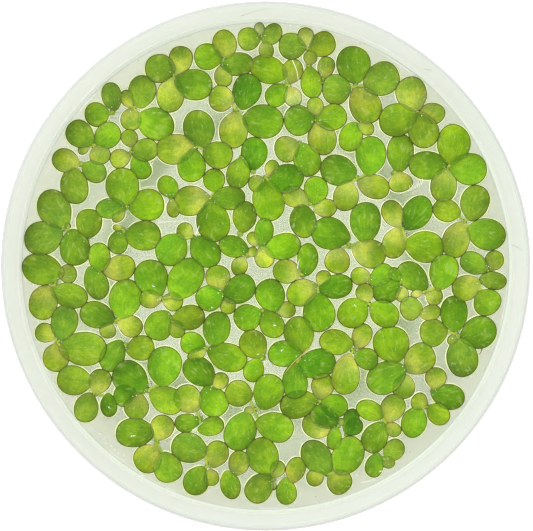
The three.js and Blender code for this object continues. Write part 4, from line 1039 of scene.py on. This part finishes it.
unit_skirt = unit_mesh("unit_skirt", make_skirt)
ring_x, ring_y, ring = mesh_points(unit_skirt).T
ring = ring.round().astype(int)
skirts = Growth()
for frond in fronds:
    plan = frond.plan(ring_x, ring_y)
    away = np.choose(ring, SKIRT_REACHES) * (1 - smooth(1.9, 0.7, np.hypot(*(plan - frond.node).T)))
    out = plan - frond.middle
    out = out / np.hypot(*out.T)[:, None]
    tone = np.where((ring == 2)[:, None], OUTER_SKIRT, YOUNG_SKIRT if frond.young() else GROWN_SKIRT)
    skirts.add(
        unit_skirt,
        np.column_stack([plan + out * away[:, None], np.choose(ring, SKIRT_HEIGHTS) + WATER_LEVEL]),
        tone=np.column_stack([tone, np.ones(len(ring))]))
skirt = skirts.piece("water_skirts", rim_water_material())
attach(skirt, "root")

# The line where the water climbs the wall, painted bright and glowing with the skirts' material: radii, and
# heights over the water
WALL_LINE = [(56.2, 0.04), (56.5, 0.16), (56.95, 0.3), (57.1, 0.2), (56.7, 0.02), (56.2, 0.04)]
WALL_LINE_TONE = srgb(203, 209, 198)
edge_line = turned("wall_waterline", [(radius, WATER_LEVEL + lift) for radius, lift in WALL_LINE],
                   skirt.data.materials[0])
line_tones = np.tile((*WALL_LINE_TONE, 1), len(edge_line.data.vertices)).astype(np.float32)
edge_line.data.attributes.new("tone", "FLOAT_COLOR", "POINT").data.foreach_set("color", line_tones)
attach(edge_line, "root")

# Thin rods bent along a path: hair roots, threads and marks
ROD_STEPS = 8
ROOTS_EACH = 9
ROOT_LENGTHS = (8, 17)
ROOT_DRIFTS = (0.3, 2.2)
ROOT_THICK = 0.06
WALL_CLEARANCE = 1.5


def make_rod(bm):
    """A straight thin tapering rod, cut into lengths so that it can bend."""
    bmesh.ops.create_cone(bm, cap_ends=True, cap_tris=True, segments=4, radius1=1, radius2=0.4, depth=1)
    for step in range(1, ROD_STEPS):
        bmesh.ops.bisect_plane(bm, geom=bm.verts[:] + bm.edges[:] + bm.faces[:],
                               plane_co=(0, 0, step / ROD_STEPS - 0.5), plane_no=(0, 0, 1))


unit_rod = unit_mesh("unit_rod", make_rod)
rod_points = mesh_points(unit_rod)
rod_run = np.clip(rod_points[:, 2] + 0.5, 0, 1)


def bent_rod(path, thick):
    """The unit rod laid along a path, a list of points, with that radius."""
    path = np.array(path, float)
    steps = np.linspace(0, 1, len(path))
    middle = np.column_stack([np.interp(rod_run, steps, path[:, axis]) for axis in range(3)])
    ahead = np.column_stack([
        np.interp(np.minimum(rod_run + 0.1, 1), steps, path[:, axis])
        - np.interp(np.maximum(rod_run - 0.1, 0), steps, path[:, axis]) for axis in range(3)])
    ahead /= np.linalg.norm(ahead, axis=1)[:, None]
    side = np.cross(ahead, (0.05, 0.02, 1.0))
    side /= np.linalg.norm(side, axis=1)[:, None]
    other = np.cross(side, ahead)
    return middle + (side * rod_points[:, :1] + other * rod_points[:, 1:2]) * thick


tufts = Growth()
for raft in RAFTS:
    for node_x, node_y, leaves in raft:
        node = np.array([node_x, node_y])
        widest = max(leaves, key=lambda numbers: numbers[4])
        toward = np.array([widest[0] + widest[2], widest[1] + widest[3]]) / 2 - node
        under = node + toward * 0.4
        for number in range(ROOTS_EACH):
            length = lively.uniform(*ROOT_LENGTHS)
            turn = lively.uniform(0, 2 * math.pi)
            drift = lively.uniform(*ROOT_DRIFTS)
            curl = lively.uniform(-1.0, 1.0)
            start = under + toward * lively.uniform(-0.25, 0.25)
            heading = np.array([math.cos(turn), math.sin(turn)])
            side = np.array([-heading[1], heading[0]])
            path = []
            for down in np.linspace(0, 1, ROD_STEPS + 1):
                spot = start + heading * drift * down ** 1.3 + side * curl * math.sin(down * 4.5) * down
                height = WATER_LEVEL + 0.05 - down * length
                far = float(np.hypot(*spot))
                spot = spot * min(1, (wall_at(height) - WALL_CLEARANCE) / max(far, 0.01))
                path.append((*spot, height))
            tufts.add(unit_rod, bent_rod(path, ROOT_THICK), down=rod_run[:, None])
tuft = tufts.piece("hair_roots", root_material())
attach(tuft, "root")


def top_at(x, y):
    """The height of whatever lies on top at a plan point: a frond, the water or the bowl's wall."""
    out = math.hypot(x, y)
    if out > wall_at(WATER_LEVEL):
        return float(np.interp(out, wall_radii, wall_heights))
    spot = np.array([[x, y]])
    tops = [frond.floor() + CROWN for frond in fronds
            if np.hypot(*(frond.middle - spot[0])) < frond.length and frond.depth(spot)[0] > -0.05]
    return max(tops, default=WATER_LEVEL)


# Loose threads and marks: radius, colour, then plan points
PALE = srgb(238, 240, 214)
WHITE = srgb(250, 250, 244)
GREY = srgb(190, 196, 178)
DULL = srgb(150, 158, 138)
TAN = srgb(188, 172, 104)
BROWN = srgb(128, 84, 44)
THREADS = [
    (0.11, GREY, (-5.9, 57.3), (-2.2, 58.1), (1.4, 58.6)),
    (0.10, GREY, (36.4, 45.0), (37.4, 44.6), (38.4, 44.4), (39.0, 43.8)),
    (0.10, GREY, (56.6, 5.0), (57.6, 4.3), (58.4, 3.4)),
    (0.16, BROWN, (50.0, -19.0), (49.8, -19.8), (49.3, -20.5)),
    (0.12, PALE, (6.2, 47.5), (7.2, 45.0), (7.6, 42.3)),
    (0.16, TAN, (9.8, -19.0), (8.5, -20.5), (7.0, -21.7), (5.5, -23.3), (4.3, -25.0)),
    (0.16, PALE, (-0.3, -22.0), (-0.2, -23.8), (-0.3, -25.5)),
    (0.13, WHITE, (-16.2, 7.2), (-15.7, 8.3), (-15.3, 9.3)),
    (0.08, PALE, (-25.0, 10.0), (-21.5, 10.3), (-18.0, 10.2)),
    (0.08, PALE, (-29.0, 18.0), (-27.0, 18.4), (-25.0, 18.4)),
    (0.09, WHITE, (-26.6, 23.1), (-25.9, 24.1)),
    (0.10, WHITE, (-50.9, 21.0), (-50.0, 22.7)),
    (0.09, PALE, (-39.0, 41.4), (-35.4, 44.5), (-31.0, 47.2)),
    (0.13, PALE, (-17.0, -38.0), (-15.8, -37.2), (-14.5, -36.0)),
    (0.10, WHITE, (7.4, -0.6), (7.5, 0.5), (7.8, 1.5)),
    (0.09, WHITE, (22.0, -50.1), (24.0, -49.7), (26.0, -49.0)),
    (0.09, WHITE, (-31.0, -47.7), (-29.5, -48.3), (-28.0, -48.4)),
]
# Painted glints: white specks, two at each place, for light sparkling on water drops
SPARKLES = [
    (-26.0, -4.6), (-31.0, -39.3), (-30.4, -39.2), (-13.4, -46.9), (26.5, -47.4), (-12.4, -9.6),
    (-36.2, -32.6), (2.0, -13.7), (3.7, -19.5), (20.5, -9.0), (35.0, -15.5), (-15.0, -34.5),
]
SPARKLE_SIZES = (0.17, 0.1)
SPARKLE_STEP = 0.3

# A comb of short threads, a row of dashes by the wall, marks and dust on open water, bubbles by the nodes
COMB_TIPS = 7
COMB_START = (33.0, 17.2)
COMB_RUN = (3.0, 1.6)
COMB_THICK = 0.08
WALL_DASHES = 9
DASH_START = 222.5
DASH_SPAN = 10.5
DASH_RADIUS = 54.9
DASH_TURN = 0.011
DASH_THICK = 0.12
WATERLINE_MARKS = 64
MARK_RADII = (56.85, 56.8, 56.0)
MARK_TURNS = (0.03, 0.22)
MARK_THICK = (0.05, 0.09)
DUST = 520
DUST_REACH = 56.5
DUST_BY_WALL = (52.0, 56.6)
DUST_SIZES = (0.05, 0.13)
NODE_BUBBLES = 3
BUBBLE_REACH = 1.2
BUBBLE_SIZES = (0.05, 0.11)
OPEN_WATER = WATER_LEVEL + 0.01

unit_speck = unit_mesh("unit_speck", lambda bm: bmesh.ops.create_icosphere(bm, subdivisions=1, radius=1))
speck_points = mesh_points(unit_speck)
bits = Growth()


def thread(thick, tone, *spots):
    path = [(x, y, top_at(x, y) + thick * 0.5) for x, y in curve_through(spots, 6)]
    bits.add(unit_rod, bent_rod(path, thick), tone=np.tile((*tone, 1), (len(rod_run), 1)))


def speck(x, y, size, tone):
    middle = np.array([x, y, top_at(x, y) + size * 0.2])
    stretch = np.array([lively.uniform(0.7, 1.5), lively.uniform(0.7, 1.5), 0.6]) * size
    bits.add(unit_speck, speck_points * stretch + middle, tone=np.tile((*tone, 1), (len(speck_points), 1)))


def on_circle(radius, turn):
    return radius * math.cos(turn), radius * math.sin(turn)


for thick, tone, *spots in THREADS:
    thread(thick, tone, *spots)
for x, y in SPARKLES:
    speck(x, y, SPARKLE_SIZES[0], WHITE)
    speck(x + SPARKLE_STEP, y + lively.uniform(-SPARKLE_STEP, SPARKLE_STEP), SPARKLE_SIZES[1], WHITE)
for number in range(COMB_TIPS):
    share = number / (COMB_TIPS - 1)
    x, y = COMB_START[0] + COMB_RUN[0] * share, COMB_START[1] + COMB_RUN[1] * share
    thread(COMB_THICK, PALE, (x, y), (x + 0.3, y + 0.7), (x + 0.2, y + 1.4))
for number in range(WALL_DASHES):
    turn = math.radians(DASH_START + DASH_SPAN * number / (WALL_DASHES - 1))
    out = DASH_RADIUS + lively.uniform(-0.3, 0.3)
    thread(DASH_THICK, WHITE, on_circle(out, turn), on_circle(out, turn + DASH_TURN))
for number in range(WATERLINE_MARKS):
    turn = lively.uniform(0, 2 * math.pi)
    length = lively.uniform(*MARK_TURNS)
    out = lively.choice(MARK_RADII) + lively.uniform(-0.12, 0.12)
    spots = [on_circle(out, turn + length * step) for step in (0, 0.33, 0.67, 1)]
    thick = lively.uniform(*MARK_THICK)
    tone = lively.choice((WHITE, WHITE, PALE, GREY))
    if max(top_at(x, y) for x, y in spots) < OPEN_WATER:
        thread(thick, tone, *spots)
for number in range(DUST):
    turn = lively.uniform(0, 2 * math.pi)
    out = DUST_REACH * math.sqrt(lively.uniform(0.0, 1.0)) if number % 2 else lively.uniform(*DUST_BY_WALL)
    x, y = on_circle(out, turn)
    size = lively.uniform(*DUST_SIZES)
    tone = lively.choice((WHITE, WHITE, PALE, DULL))
    if top_at(x, y) < OPEN_WATER:
        speck(x, y, size, tone)
for raft in RAFTS:
    for node_x, node_y, leaves in raft:
        for number in range(NODE_BUBBLES):
            speck(node_x + lively.uniform(-BUBBLE_REACH, BUBBLE_REACH),
                  node_y + lively.uniform(-BUBBLE_REACH, BUBBLE_REACH), lively.uniform(*BUBBLE_SIZES), PALE)
bit = bits.piece("loose_bits", thread_material())
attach(bit, "root")

# The table the bowl stands on, the light and the camera: places and sizes here are in metres
TABLE_HALF_WIDTH = 1.5
TABLE_GREY = (0.5, 0.5, 0.5)
TABLE_GLOW = 0.75
SKY_STRENGTH = 0.84
LAMP_SIZE = 0.8
LAMP_POWER = 3.0
LAMP_PLACE = (-0.45, 0.5, 0.9)
LAMP_AIM = (0, 0, 0.03)

scene = bpy.context.scene
scene.view_settings.view_transform = "Standard"
table_bm = bmesh.new()
bmesh.ops.create_grid(table_bm, x_segments=1, y_segments=1, size=TABLE_HALF_WIDTH)
table_mesh = bpy.data.meshes.new("light_table")
table_bm.to_mesh(table_mesh)
table_bm.free()
table_mesh.materials.append(Recipe("light_table").set(
    Base_Color=TABLE_GREY, Roughness=0.8, Emission_Color=(1.0, 1.0, 1.0), Emission_Strength=TABLE_GLOW))
on_stage("light_table", table_mesh)

world = bpy.data.worlds.new("soft_daylight")
scene.world = world
world.use_nodes = True
sky = world.node_tree.nodes["Background"].inputs
sky["Color"].default_value = (1.0, 1.0, 1.0, 1)
sky["Strength"].default_value = SKY_STRENGTH

lamp = bpy.data.lights.new("window", "AREA")
lamp.size = LAMP_SIZE
lamp.energy = LAMP_POWER
window = on_stage("window", lamp)
window.location = LAMP_PLACE
window.rotation_euler = (Vector(LAMP_AIM) - window.location).to_track_quat("-Z", "Y").to_euler()

camera = bpy.data.cameras.new("camera")
camera.sensor_width = SENSOR
pixel = RIM_RADIUS / RIM_RADIUS_PX
camera.lens = SENSOR * CAMERA_HEIGHT / (IMAGE_WIDTH * pixel)
camera_object = on_stage("camera", camera)
camera_object.location = (
    (IMAGE_WIDTH / 2 - RIM_CENTRE_X) * pixel * MM, (RIM_CENTRE_Y - IMAGE_HEIGHT / 2) * pixel * MM,
    (RIM_HEIGHT + CAMERA_HEIGHT) * MM)
scene.camera = camera_object
